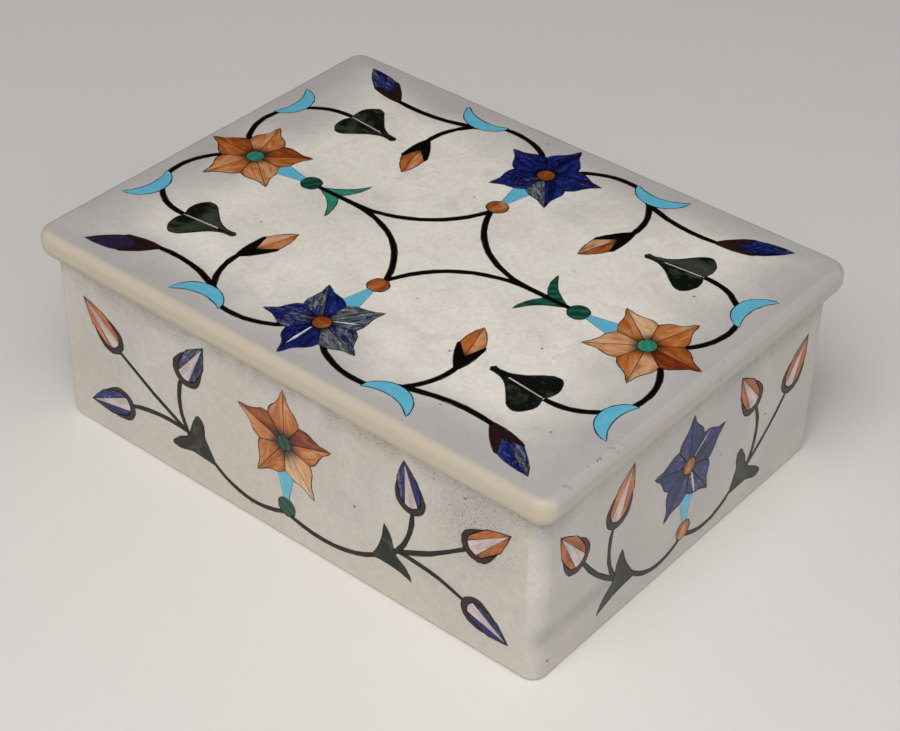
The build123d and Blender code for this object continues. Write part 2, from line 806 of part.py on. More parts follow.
for node, outlines in lid_stones.items():
    make_stones(node, lid_face, outlines)
for side, stones in side_stones.items():
    for name, outlines in stones.items():
        if outlines:
            make_stones(f"{side}_{name}", side_faces[side], outlines)
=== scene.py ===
import json
import random
from math import atan2, ceil, cos, radians, sin, tau

import bmesh
import bpy
from bpy.props import FloatProperty, FloatVectorProperty, IntProperty, PointerProperty
from mathutils import Matrix, Vector, noise


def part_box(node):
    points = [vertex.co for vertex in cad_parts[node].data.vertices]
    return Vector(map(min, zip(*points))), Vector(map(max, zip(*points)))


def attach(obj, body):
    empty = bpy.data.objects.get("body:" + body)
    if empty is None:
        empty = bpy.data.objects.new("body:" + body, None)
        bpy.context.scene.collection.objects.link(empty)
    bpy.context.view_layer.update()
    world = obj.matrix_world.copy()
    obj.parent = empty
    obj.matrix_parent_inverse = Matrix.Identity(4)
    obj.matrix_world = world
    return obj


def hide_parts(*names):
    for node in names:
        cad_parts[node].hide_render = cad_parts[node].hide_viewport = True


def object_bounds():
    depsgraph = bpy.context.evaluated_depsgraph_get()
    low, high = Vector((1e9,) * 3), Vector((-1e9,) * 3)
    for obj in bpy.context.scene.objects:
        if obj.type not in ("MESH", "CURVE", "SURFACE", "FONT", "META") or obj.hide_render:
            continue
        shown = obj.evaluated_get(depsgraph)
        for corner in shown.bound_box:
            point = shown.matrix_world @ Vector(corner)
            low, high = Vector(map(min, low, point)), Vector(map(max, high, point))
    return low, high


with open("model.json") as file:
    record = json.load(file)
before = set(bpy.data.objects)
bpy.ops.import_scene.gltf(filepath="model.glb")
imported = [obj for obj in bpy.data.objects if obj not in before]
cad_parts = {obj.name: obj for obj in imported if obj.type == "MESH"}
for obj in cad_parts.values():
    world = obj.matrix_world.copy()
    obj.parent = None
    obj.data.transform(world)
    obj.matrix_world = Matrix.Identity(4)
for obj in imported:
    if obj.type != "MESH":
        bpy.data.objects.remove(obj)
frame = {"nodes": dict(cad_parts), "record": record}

bl_info = {
    "name": "Inlaid marble box",
    "version": (1, 0, 0),
    "blender": (4, 5, 0),
    "location": "3D View > Sidebar > Marble Box",
    "description": "Gives a white marble box its cut and cemented stone flowers, its polish and its wear",
    "category": "Add Mesh",
}

cad_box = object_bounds()
lid_low, lid_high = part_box("lid_slab")
body_low, body_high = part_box("box_body")
MM_PER_METRE = 1000

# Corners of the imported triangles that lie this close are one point, and points this near a plane lie in it
SAME_PLACE = 1e-7
SAME_LEVEL = 2e-6

# Outlines turn sharply where they turn by more than this, and are curves elsewhere
CORNER_TURN = radians(44)
CURVE_STEP = radians(7)

# Cement, stems and the other stones stand this little above the marble, so that no two lie in one plane
CEMENT_RISE = 0.000001
STEM_RISE = 0.000002
STONE_RISE = 0.000003
SPLINTER_RISE = 0.000004
SPLINTER_THICKNESS = 0.0003
STONE_THICKNESS = 0.0012
POCKET_DEPTH = 0.0013
HALF_PETALS = 10

# Stones other than stems are rubbed back from their outlines
RUBBED_BACK = 0.00003

# One leaf fork of each side face has rounded tips, as no turn there counts as a corner. It is the fork to the
# face's right where this is 1.
ROUNDED_FORK = {"front": -1, "back": -1, "right": 1, "left": 1}
ROUND_TIPS = radians(179)

# How ragged the cement's outer edge is: waves to a metre, and the noise's mean, which the gap is divided by
CEMENT_RAGGEDNESS = 900.0
MEAN_NOISE = 0.5

# The record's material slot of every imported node
SLOTS = {row["node"]: row["material_slot"] for row in frame["record"]["subparts"]}

SIDES = ("front", "back", "right", "left")
MARBLE_NODES = ("box_body", "lid_slab", "lid_locating_panel")


class Face:
    """One face of the box that carries stones: its middle and the ways that are right, up and outwards."""

    def __init__(self, middle, right, up):
        self.middle = Vector(middle)
        self.right = Vector(right)
        self.up = Vector(up)
        self.outwards = self.right.cross(self.up)

    def place(self, across, above):
        """A point of the face, measured in millimetres from its middle."""
        return self.middle + (self.right * across + self.up * above) / MM_PER_METRE


body_middle = (body_low + body_high) / 2
FACES = {
    "lid": Face((0, 0, lid_high.z), (1, 0, 0), (0, 1, 0)),
    "front": Face((0, body_low.y, body_middle.z), (1, 0, 0), (0, 0, 1)),
    "back": Face((0, body_high.y, body_middle.z), (-1, 0, 0), (0, 0, 1)),
    "right": Face((body_high.x, 0, body_middle.z), (0, 1, 0), (0, 0, 1)),
    "left": Face((body_low.x, 0, body_middle.z), (0, -1, 0), (0, 0, 1)),
}

# Steps along one rounded corner and along each pair of straight sides of a marble block
CORNER_STEPS = 16
LONG_STEPS = 70
SHORT_STEPS = 54
ROUNDING_STEPS = 14
CORNERS = ((1, 1, LONG_STEPS), (-1, 1, SHORT_STEPS), (-1, -1, LONG_STEPS), (1, -1, SHORT_STEPS))

# White splinters in the ridges of some petals: their face, two ends in millimetres and width at the first
SPLINTERS = (
    ("lid", (-0.4, -28.6), (-0.5, -34.0), 0.5),
    ("lid", (1.2, -25.5), (4.6, -23.6), 0.3),
    ("right", (0.6, 1.4), (1.9, -3.4), 0.5),
    ("right", (1.0, 4.4), (4.9, 7.2), 0.25),
    ("left", (0.6, 1.4), (1.9, -3.4), 0.5),
)

# The sky is dark this way, so that the polished lid keeps its deep blacks: it fades from the first nearness
# to that way and is black from the second
DARK_WAY = Vector((-0.50, 0.62, 0.60))
DARK_FROM = 0.45
DARK_FULL = 0.9

# Lamps: their width and place
KEY_LAMP = (0.30, (0.12, -0.26, 0.42))
FILL_LAMP = (0.25, (0.42, 0.02, 0.22))
FLOOR_HALF_WIDTH = 3

LID_CORNER = 0.003
LID_TOP_ROUNDING = 0.0014
LID_UNDER_ROUNDING = 0.0026
BODY_CORNER = 0.0024
FOOT_ROUNDING = 0.0008
RIM_ROUNDING = 0.0003
WALL = 0.0055
CAVITY_CORNER = 0.003
CAVITY_BEVEL = 0.0012
CAVITY_FLOOR = 0.005
PANEL_BEVEL = 0.0005

# Hand polishing wore the lid's two roundings in by about half of this, and unevenly in two sizes of wave
UNDER_WEAR = 0.00018
TOP_WEAR = 0.00022
LONG_WAVES = 160
SHORT_WAVES = 700

# Places of marks in the body's marble: its grey end, which is partly painted shade on the right face, the vein
# there, the band under the lid, partly dirt and partly painted shade, and the spatter of dirt
GREY_SHADE_FROM, GREY_SHADE_FULL = 0.0485, 0.0512
VEIN_HEIGHT = 0.0098
VEIN_HALF_WIDTH = 0.0030
VEIN_FROM, VEIN_FULL = -0.010, -0.024
# The band under the lid, partly dirt and partly painted shade, fades in from this far below the rim to this
SHADE_AND_DIRT_BELOW_RIM = 0.0055
SHADE_AND_DIRT_FULL_BELOW_RIM = 0.0005
SPATTER_ACROSS, SPATTER_HEIGHT = 0.0375, 0.0245
SPATTER_REACH, SPATTER_FULL = 0.016, 0.005

# Places of marks in the lid's marble: its creamy front strip and the row of pits by its right edge
CREAM_FROM, CREAM_FULL = -0.0330, -0.0365
PITS_ACROSS, PITS_ALONG = 0.0499, -0.027
PITS_HALF_WIDTH, PITS_HALF_LENGTH = 0.0007, 0.008

# Tones of the ten half petals of a flower, anticlockwise from its first petal. Carnelian runs from dark red
# at 0 to pale peach at 1, lapis from pure blue at 0 to grey calcite at 1, and below 0 to a dull violet.
LID_RIGHT_TONES = (0.3, 0.45, 0.58, 0.9, 0.52, 0.78, 0.7, 0.5, 0.72, 0.08)
LID_LEFT_TONES = (0.4, 0.58, 0.55, 0.6, 0.66, 0.42, 0.14, 0.5, 0.6, 0.22)
LID_FRONT_TONES = (0.0, 0.85, 0.4, 0.62, 0.8, 0.05, 0.55, 0.35, 0.3, 0.0)
LID_BACK_TONES = (0.1, 0.05, 0.1, 0.12, 0.3, 0.6, 0.05, 0.1, 0.12, 0.05)
SIDE_CARNELIAN_TONES = (0.52, 0.1, 0.62, 0.5, 0.42, 1.0, 0.78, 0.55, 0.08, 0.5)
SIDE_LAPIS_TONES = (0.2, 0.25, 0.12, 0.15, 0.2, 0.25, 0.3, 0.2, 0.15, 0.1)

# Flowers: the node, its middle on its face in millimetres, the heading of its first petal, and its tones
FLOWERS = (
    ("lid_right_flower_petals", (39.45, 0), 0, LID_RIGHT_TONES),
    ("lid_left_flower_petals", (-39.45, 0), 180, LID_LEFT_TONES),
    ("lid_front_flower_petals", (0, -26.75), -90, LID_FRONT_TONES),
    ("lid_back_flower_petals", (0, 26.75), 90, LID_BACK_TONES),
    ("front_flower_petals", (0.5, 3.7), 90, SIDE_CARNELIAN_TONES),
    ("back_flower_petals", (0.5, 3.7), 90, SIDE_CARNELIAN_TONES),
    ("right_flower_petals", (-0.2, 3.1), 90, SIDE_LAPIS_TONES),
    ("left_flower_petals", (-0.2, 3.1), 90, SIDE_LAPIS_TONES),
)

# Tones of the paired stones in the lid's buds and leaves, anticlockwise from the right-hand end of the lid
LID_TONES = {
    "lid_carnelian_bud_gems": (0.28, 0.75, 0.5, 0.38, 0.82, 0.5, 0.42, 0.6),
    "lid_lapis_bud_gems": (0.12, 0.3, 0.3, 0.42, -0.3, -0.25, 0.3, 0.35),
    "lid_leaves": (0.2, 0.75, 0.8, 0.15),
}


def colour_setting(name, description, default):
    """A setting that is a colour."""
    return FloatVectorProperty(name=name, description=description, subtype="COLOR", size=3, default=default)


def share_setting(name, description, default):
    """A setting that runs from 0 to 1."""
    return FloatProperty(
        name=name, description=description, subtype="FACTOR", default=default, min=0, max=1
    )


def length_setting(name, description, default):
    """A setting that is a length in metres."""
    return FloatProperty(
        name=name, description=description, subtype="DISTANCE", unit="LENGTH", default=default
    )


def angle_setting(name, description, degrees):
    """A setting that is an angle."""
    return FloatProperty(
        name=name, description=description, subtype="ANGLE", unit="ROTATION", default=radians(degrees)
    )


def power_setting(name, description, default):
    """A setting that is a lamp's power in watts."""
    return FloatProperty(name=name, description=description, subtype="POWER", unit="POWER", default=default)


class MarbleSettings(bpy.types.PropertyGroup):
    """Colours and polish of the white marble."""

    white: colour_setting("White", "Clear marble", (0.82, 0.765, 0.685))
    # Grey of the clouds, also used for the painted shade at the lid's edges and on its rounded sides
    cloud_and_shade: colour_setting("Cloud", "Grey lilac clouds in the marble", (0.43, 0.41, 0.405))
    cream: colour_setting("Cream", "Handled and yellowed edges", (0.60, 0.52, 0.40))
    # This dark colour is the dirt in pits and scratches and also the painted shade under the lid and under its
    # edge
    dirt_and_shade: colour_setting("Dirt", "Dirt in pits and scratches", (0.10, 0.075, 0.055))
    roughness: share_setting("Roughness", "Roughness of the polish", 0.36)


class StoneSettings(bpy.types.PropertyGroup):
    """Colours and polish of the inlaid stones."""

    lapis: colour_setting("Lapis", "Deep blue of the lapis", (0.008, 0.013, 0.10))
    calcite: colour_setting("Calcite", "Grey streaks in the lapis", (0.33, 0.35, 0.34))
    carnelian_red: colour_setting("Dark carnelian", "Darkest carnelian", (0.17, 0.022, 0.008))
    carnelian_orange: colour_setting("Orange carnelian", "Usual carnelian", (0.52, 0.155, 0.032))
    carnelian_peach: colour_setting("Pale carnelian", "Palest carnelian", (0.80, 0.52, 0.31))
    turquoise: colour_setting("Turquoise", "Sky blue stone", (0.14, 0.52, 0.70))
    malachite: colour_setting("Malachite", "Light bands of the green stone", (0.04, 0.27, 0.17))
    malachite_dark: colour_setting("Dark malachite", "Dark bands of the green stone", (0.006, 0.05, 0.032))
    serpentine: colour_setting("Serpentine", "Near-black green stone", (0.006, 0.008, 0.006))
    slate: colour_setting("Slate", "Black stone of the stems", (0.004, 0.003, 0.002))
    jasper: colour_setting("Jasper", "Dark brown stone of cups and rims", (0.022, 0.009, 0.008))
    shell: colour_setting("Shell", "Pale wedges in the side buds", (0.74, 0.60, 0.57))
    roughness: share_setting("Roughness", "Roughness of the stones' polish", 0.22)
    seed: IntProperty(name="Seed", description="Chooses where each stone was cut from its block", default=7)


class CementSettings(bpy.types.PropertyGroup):
    """The cement that holds the stones."""

    colour: colour_setting("Colour", "Colour of the cement", (0.02, 0.012, 0.008))
    gap: length_setting("Gap", "Width of the cement round a stone", 0.00018)


class StageSettings(bpy.types.PropertyGroup):
    """Floor, lamps and camera."""

    floor: colour_setting("Floor", "Colour of the floor", (0.87, 0.84, 0.80))
    sky: FloatProperty(name="Sky", description="Strength of the light from all round", default=0.40, min=0)
    key: power_setting("Key lamp", "Power of the large lamp in front", 1.36)
    fill: power_setting("Fill lamp", "Power of the lamp on the right", 0.22)
    azimuth: angle_setting("Azimuth", "Camera's turn to the right of the front face", 39.27)
    elevation: angle_setting("Elevation", "Camera's tilt downwards", 37.25)
    roll: angle_setting("Roll", "Camera's roll", 1.09)
    distance: length_setting("Distance", "Camera's distance along its view", 0.35387)
    side: length_setting("Side", "Camera's place to the right of the box's middle", 0.00216)
    rise: length_setting("Rise", "Camera's place above the box's middle", 0.01)
    lens: FloatProperty(
        name="Lens", description="Focal length for a sensor 36 mm wide", subtype="DISTANCE_CAMERA",
        unit="CAMERA", default=86.05,
    )


class Number:
    """A number that varies from place to place, so that sums of nodes read as plain maths."""

    def __init__(self, nodes, socket):
        self.nodes = nodes
        self.socket = socket

    def sum_of(self, operation, first, second):
        return self.nodes.math(operation, first, second)

    def __add__(self, other):
        return self.sum_of("ADD", self, other)

    __radd__ = __add__

    def __sub__(self, other):
        return self.sum_of("SUBTRACT", self, other)

    def __rsub__(self, other):
        return self.sum_of("SUBTRACT", other, self)

    def __mul__(self, other):
        return self.sum_of("MULTIPLY", self, other)

    __rmul__ = __mul__

    def __truediv__(self, other):
        return self.sum_of("DIVIDE", self, other)


class Nodes:
    """A node tree being made."""

    def __init__(self, tree):
        self.tree = tree

    def node(self, kind, settings=None, values=None):
        """A node of any type: its settings are made first, then its sockets get their values or links."""
        node = self.tree.nodes.new(kind)
        for name, setting in (settings or {}).items():
            if name == "stops":
                self.fill_ramp(node.color_ramp, setting)
            else:
                setattr(node, name, setting)
        for key, value in (values or {}).items():
            named = [socket for socket in node.inputs if socket.name == key and socket.enabled]
            socket = node.inputs[key] if isinstance(key, int) else named[0]
            if isinstance(value, Number):
                value = value.socket
            if isinstance(value, bpy.types.NodeSocket):
                self.tree.links.new(value, socket)
            elif socket.type == "RGBA":
                socket.default_value = (*value, 1)
            else:
                socket.default_value = value
        return node

    def fill_ramp(self, ramp, stops):
        """Puts the colours of a ramp at their places."""
        while len(ramp.elements) < len(stops):
            ramp.elements.new(1)
        for element, (place, colour) in zip(ramp.elements, stops):
            element.position = place
            element.color = (*colour, 1)

    def number(self, kind, settings=None, values=None, output=0):
        return Number(self, self.node(kind, settings, values).outputs[output])

    def math(self, operation, first, second=0.0):
        return self.number("ShaderNodeMath", {"operation": operation}, {0: first, 1: second})

    def vector(self, operation, first, second=None, scale=None):
        """A sum of two vectors, or a vector made longer."""
        values = {0: first}
        if second is not None:
            values[1] = second
        if scale is not None:
            values["Scale"] = scale
        return self.node("ShaderNodeVectorMath", {"operation": operation}, values).outputs[0]

    def length_along(self, first, second):
        """How far one vector reaches along another."""
        return self.number(
            "ShaderNodeVectorMath", {"operation": "DOT_PRODUCT"}, {0: first, 1: second}, output="Value"
        )

    def axes(self, vector):
        """The three parts of a vector."""
        outputs = self.node("ShaderNodeSeparateXYZ", values={0: vector}).outputs
        return [Number(self, socket) for socket in outputs]

    def size_of(self, number):
        """A number without its sign."""
        return self.math("ABSOLUTE", number)

    def length_of(self, vector):
        return self.number("ShaderNodeVectorMath", {"operation": "LENGTH"}, {0: vector}, output="Value")

    def larger(self, first, second):
        return self.math("MAXIMUM", first, second)

    def between(self, number, start, end):
        """0 up to the start and 1 from the end, or the other way round where the start is the larger."""
        settings = {"interpolation_type": "SMOOTHSTEP"}
        values = {"Value": number, "From Min": start, "From Max": end}
        if start > end:
            values.update({"From Min": end, "From Max": start, "To Min": 1.0, "To Max": 0.0})
        return self.number("ShaderNodeMapRange", settings, values)


class Finish(Nodes):
    """A material being made."""

    def __init__(self, name):
        self.material = bpy.data.materials.new(name)
        self.material.use_nodes = True
        super().__init__(self.material.node_tree)
        self.tree.nodes.clear()
        self.place = self.node("ShaderNodeTexCoord").outputs["Object"]

    def attribute(self, name, output="Fac"):
        """What each stone carries with it, such as its tone."""
        socket = self.node("ShaderNodeAttribute", {"attribute_name": name}).outputs[output]
        return Number(self, socket) if output == "Fac" else socket

    def noise(self, size, place=None, detail=3.0, roughness=0.5, twist=0.0):
        """Soft random patches of about the given size in metres."""
        values = {
            "Vector": place or self.place,
            "Scale": 1 / size,
            "Detail": detail,
            "Roughness": roughness,
            "Distortion": twist,
        }
        return self.number("ShaderNodeTexNoise", values=values)

    def specks(self, spacing, place=None):
        """Distance from scattered points, where 1 is about the spacing in metres."""
        values = {"Vector": place or self.place, "Scale": 1 / spacing}
        return self.number("ShaderNodeTexVoronoi", values=values, output="Distance")

    def mix(self, share, first, second):
        """A colour that goes from the first to the second as the share goes from 0 to 1."""
        node = self.node("ShaderNodeMix", {"data_type": "RGBA"}, {"Factor": share, "A": first, "B": second})
        return next(socket for socket in node.outputs if socket.enabled)

    def shaded(self, colour, amount):
        """A colour made lighter or darker by a number near 1."""
        return self.vector("SCALE", colour, scale=amount)

    def ramp(self, number, stops):
        return self.node("ShaderNodeValToRGB", {"stops": stops}, {0: number}).outputs["Color"]

    def finished(self, colour, roughness, height, depth, specular=0.3, subsurface=0.0):
        """The material with its colour, roughness and relief joined up."""
        values = {"Base Color": colour, "Roughness": roughness, "Specular IOR Level": specular}
        if subsurface:
            values.update({"Subsurface Weight": subsurface, "Subsurface Scale": 0.002})
        bump = {"Strength": 1.0, "Distance": depth, "Height": height}
        values["Normal"] = self.node("ShaderNodeBump", values=bump).outputs["Normal"]
        surface = self.node("ShaderNodeBsdfPrincipled", values=values)
        self.node("ShaderNodeOutputMaterial", values={"Surface": surface.outputs["BSDF"]})
        return self.material


def scaled(colour, factor):
    """A colour made lighter or darker as a whole."""
    return tuple(part * factor for part in colour)


def marble(name, painted_light_level):
    """White marble: sugary crystals and soft grey clouds, its white made lighter or darker as painted light.
    Gives the finish, its colour and its crystals.
    """
    tints = bpy.context.scene.box_marble
    f = Finish(name)
    clouds = f.between(f.noise(0.024, detail=5, roughness=0.62, twist=0.6), 0.45, 0.70)
    wisps = f.between(f.noise(0.007, detail=5, roughness=0.65, twist=1.2), 0.50, 0.74)
    blush = f.between(f.noise(0.011, f.vector("ADD", f.place, (0.9, 0.2, 0.4)), detail=3), 0.5, 0.75)
    colour = f.mix(clouds * 0.34 + wisps * 0.26, scaled(tints.white, painted_light_level), tints.cloud_and_shade)
    colour = f.mix(blush * 0.35, colour, (0.70, 0.60, 0.56))
    crystals = f.noise(0.0007, detail=3, roughness=0.75)
    grains = f.specks(0.0009)
    colour = f.shaded(colour, 0.80 + crystals * 0.32 + grains * 0.07)
    return f, colour, crystals


def worn(f, colour, crystals, grime_and_shade):
    """Marble with its pits, scratches and dirt, and painted shade under the lid and its edge, rubbed to a soft
    polish.
    """
    tints = bpy.context.scene.box_marble
    pit_field = f.specks(0.0042, f.vector("ADD", f.place, (0.3, 0.7, 0.1)))
    pit_chance = f.between(f.noise(0.009, detail=2), 0.5, 0.62)
    pits = f.between(pit_field, 0.085, 0.03) * pit_chance
    scratches = f.between(f.noise(0.0009, detail=3, roughness=0.7), 0.64, 0.72)
    specks = f.between(f.noise(0.00035, detail=3, roughness=0.8), 0.53, 0.62)
    colour = f.mix(pits * 0.85 + scratches * 0.2, colour, tints.dirt_and_shade)
    # Darkening by the grime mask: the pits and spatter in it are dirt, the bands under the lid and under its
    # edge are painted shade
    colour = f.mix(grime_and_shade * (0.14 + specks * 0.6), colour, tints.dirt_and_shade)
    roughness = tints.roughness + f.noise(0.004, detail=4) * 0.14 - 0.07 + pits * 0.3
    height = f.noise(0.007, detail=3) * 1.2 + crystals * 0.16 - pits * 0.8
    return f.finished(colour, roughness, height, depth=0.00009, subsurface=0.12)


def body_marble():
    """The body's marble: grey with a low vein at its right-hand end, where the grey is partly painted shade,
    and darker under the lid's edge with dirt and painted shade.
    """
    tints = bpy.context.scene.box_marble
    # Painted shade: the body's white is darkened to 0.80 of the marble's white because its faces stand upright
    f, colour, crystals = marble("marble_body", 0.80)
    across, along, height = f.axes(f.place)
    drift = f.noise(0.012, detail=3)
    # Painted shade with a grey tint: the whole right face is greyed
    grey_and_shaded_end = f.between(across + drift * 0.004, GREY_SHADE_FROM, GREY_SHADE_FULL)
    colour = f.mix(grey_and_shaded_end * 0.6, colour, (0.45, 0.435, 0.43))
    rise = height - VEIN_HEIGHT + drift * 0.003
    vein = f.between(f.size_of(rise), VEIN_HALF_WIDTH, 0.0) * f.between(along, VEIN_FROM, VEIN_FULL)
    vein = vein * grey_and_shaded_end
    colour = f.mix(vein * 0.4, colour, (0.20, 0.18, 0.18))
    warm = f.between(f.noise(0.02, detail=2) + height * 6, 0.72, 0.5) * 0.25
    colour = f.mix(warm * (1 - grey_and_shaded_end), colour, tints.cream)
    reach = f.larger(f.size_of(across) / body_high.x, f.size_of(along) / body_high.y)
    outside = f.between(reach, 0.97, 0.99)
    rim = body_high.z
    # Painted shade with patchy dirt: a band just under the lid's overhang is darkened
    shade_and_dirt_under_lid = f.between(height, rim - SHADE_AND_DIRT_BELOW_RIM, rim - SHADE_AND_DIRT_FULL_BELOW_RIM) * outside
    by_bud = f.vector("SUBTRACT", f.place, (SPATTER_ACROSS, body_low.y, SPATTER_HEIGHT))
    spatter = f.between(f.length_of(by_bud) + drift * 0.006, SPATTER_REACH, SPATTER_FULL)
    grime_and_shade = f.larger(shade_and_dirt_under_lid * f.between(f.noise(0.006, detail=3), 0.35, 0.6), spatter)
    return worn(f, colour, crystals, grime_and_shade)


def lid_marble():
    """The lid's marble: greyer towards its edges with handling and painted shade, greyed with painted shade on
    its rounded sides and under its edge, creamy at the front one and pitted by the right one.
    """
    tints = bpy.context.scene.box_marble
    # Painted light: the lid's white is brightened to 1.1 of the marble's white because its top faces the light
    f, colour, crystals = marble("marble_lid", 1.1)
    across, along, _ = f.axes(f.place)
    reach = f.larger(f.size_of(across) / lid_high.x, f.size_of(along) / lid_high.y)
    # Painted shade, partly grey from handling: the lid is greyed towards its edges, where less light falls
    greyed_shaded_edges = f.between(reach + f.noise(0.018, detail=4) * 0.35, 0.78, 1.12)
    colour = f.mix(greyed_shaded_edges * 0.78, colour, tints.cloud_and_shade)
    leans = f.axes(f.node("ShaderNodeNewGeometry").outputs["Normal"])
    blotches = f.noise(0.006, detail=4)
    # Painted shade: the rounded sides, picked out by their normals, are greyed; the front-facing ones also get
    # a creamy yellowing
    rounding = f.between(leans[2], 0.995, 0.8) * f.between(leans[2], -0.95, -0.6)
    creamy = f.between(leans[1], 0.1, -0.5) * 0.75 + 0.2
    colour = f.mix(rounding * 0.75, colour, tints.cloud_and_shade)
    colour = f.mix(rounding * creamy * (0.5 + blotches * 0.7), colour, tints.cream)
    front_strip = f.between(along + blotches * 0.004, CREAM_FROM, CREAM_FULL)
    colour = f.mix(front_strip * 0.65, colour, tints.cream)
    across_row = f.between(f.size_of(across - PITS_ACROSS), PITS_HALF_WIDTH, 0.0004)
    along_row = f.between(f.size_of(along - PITS_ALONG), PITS_HALF_LENGTH, 0.006)
    pitted = across_row * along_row * f.between(f.noise(0.0009, detail=1), 0.57, 0.62) * 1.3
    # Painted shade with blotchy dirt: surfaces facing down under the lid's edge are darkened
    shade_and_dirt_under_edge = f.between(leans[2], 0.0, -0.7) * f.between(blotches, 0.3, 0.6)
    return worn(f, colour, crystals, f.larger(pitted, shade_and_dirt_under_edge * 0.8))


def along_stone(f):
    """A point's place seen from its stone's root, the stone's way, and how far along that way it lies."""
    from_root = f.vector("SUBTRACT", f.place, f.attribute("root", "Vector"))
    way = f.attribute("way", "Vector")
    return from_root, way, f.length_along(from_root, way)


def grain_place(f, stretch=0.72):
    """Where a point lay in the block that its stone was cut from, drawn out along the stone."""
    from_root, way, along = along_stone(f)
    shortened = f.vector("SUBTRACT", from_root, f.vector("SCALE", way, scale=along * stretch))
    return f.vector("ADD", shortened, f.attribute("cut", "Vector"))


def run_place(f):
    """How far along its stone a point is and how far beside its run, in lengths of the stone."""
    from_root, way, along = along_stone(f)
    beside = f.length_of(f.vector("SUBTRACT", from_root, f.vector("SCALE", way, scale=along)))
    reach = f.attribute("reach")
    return along / reach, beside / reach


def lapis():
    """Lapis lazuli: navy with brighter patches, grey calcite streaks, light blue flecks and dark tips."""
    tints = bpy.context.scene.box_stones
    f = Finish("polished_lapis")
    grain = grain_place(f)
    along, _ = run_place(f)
    tone = f.attribute("tone")
    mottle = f.noise(0.0013, grain, detail=6, roughness=0.7)
    stops = (
        (0.32, scaled(tints.lapis, 0.12)),
        (0.52, tints.lapis),
        (0.72, scaled(tints.lapis, 3.0)),
    )
    colour = f.ramp(mottle, stops)
    streaks = f.between(f.noise(0.0017, grain, detail=6, roughness=0.7, twist=1.0) + tone * 0.46, 0.62, 0.84)
    grit = f.noise(0.00045, grain, detail=5, roughness=0.75)
    greys = f.mix(f.between(grit, 0.42, 0.66), scaled(tints.calcite, 0.12), tints.calcite)
    colour = f.mix(streaks * 0.92, colour, greys)
    flecks = f.between(f.noise(0.00028, grain, detail=2, roughness=0.8), 0.60, 0.70)
    colour = f.mix(flecks * (0.15 + tone * 1.4), colour, (0.30, 0.38, 0.66))
    colour = f.mix(f.between(tone, 0.0, -0.3) * 0.8, colour, (0.03, 0.02, 0.03))
    colour = f.mix(f.between(along + (mottle - 0.5) * 0.2, 0.82, 0.98) * 0.85, colour, (0.004, 0.004, 0.008))
    roughness = tints.roughness + streaks * 0.1
    return f.finished(colour, roughness, mottle + streaks * 0.5, depth=0.00001)


def carnelian():
    """Carnelian: red, orange or peach from stone to stone, streaked along the stone and dark at the tips."""
    tints = bpy.context.scene.box_stones
    f = Finish("polished_carnelian")
    grain = grain_place(f)
    along, beside = run_place(f)
    tone = f.attribute("tone")
    streaks = f.noise(0.0013, grain, detail=6, roughness=0.68, twist=0.8)
    depth_of_tone = tone + (streaks - 0.5) * 1.3
    stops = (
        (0.0, tints.carnelian_red),
        (0.48, tints.carnelian_orange),
        (1.0, tints.carnelian_peach),
    )
    colour = f.ramp(depth_of_tone, stops)
    smoke = f.between(f.noise(0.0016, grain, detail=5, roughness=0.6), 0.54, 0.72)
    colour = f.mix(smoke * 0.65, colour, tints.carnelian_red)
    glow = f.between(f.noise(0.0011, grain, detail=3), 0.62, 0.78)
    colour = f.mix(glow * 0.35, colour, (0.85, 0.48, 0.16))
    middle_line = f.between(beside, 0.05, 0.0) * 0.7
    sides = f.between(beside + (streaks - 0.5) * 0.06, 0.19, 0.34)
    colour = f.mix(f.larger(middle_line, sides) * 0.55, colour, (0.16, 0.035, 0.010))
    tips = f.between(along + (streaks - 0.5) * 0.3, 0.74, 0.98)
    colour = f.mix(tips * 0.85, colour, (0.035, 0.010, 0.006))
    return f.finished(colour, tints.roughness + smoke * 0.1, streaks, depth=0.00001)


def turquoise():
    """Turquoise: even sky blue with faint mottling and a few dark threads."""
    tints = bpy.context.scene.box_stones
    f = Finish("polished_turquoise")
    grain = grain_place(f)
    mottle = f.noise(0.0012, grain, detail=4)
    colour = f.mix(mottle, scaled(tints.turquoise, 0.82), scaled(tints.turquoise, 1.12))
    matrix = f.between(f.noise(0.0009, grain, detail=5, roughness=0.7), 0.66, 0.75)
    colour = f.mix(matrix * 0.35, colour, (0.08, 0.12, 0.11))
    return f.finished(colour, tints.roughness + mottle * 0.1, mottle, depth=0.00001)


def malachite():
    """Malachite: bands of light and dark green across the stone."""
    tints = bpy.context.scene.box_stones
    f = Finish("polished_malachite")
    grain = grain_place(f, stretch=0.0)
    tone = f.attribute("tone")
    bands = f.number(
        "ShaderNodeTexWave",
        {"wave_type": "RINGS", "rings_direction": "SPHERICAL"},
        {"Vector": grain, "Scale": 260.0, "Distortion": 2.5, "Detail": 2.0, "Detail Scale": 2.0},
        output="Fac",
    )
    share = f.between(bands * 0.28 + f.noise(0.0016, grain) * 0.3 + tone * 0.9, 0.25, 1.15)
    colour = f.mix(share, tints.malachite_dark, tints.malachite)
    return f.finished(colour, tints.roughness, bands, depth=0.000006)


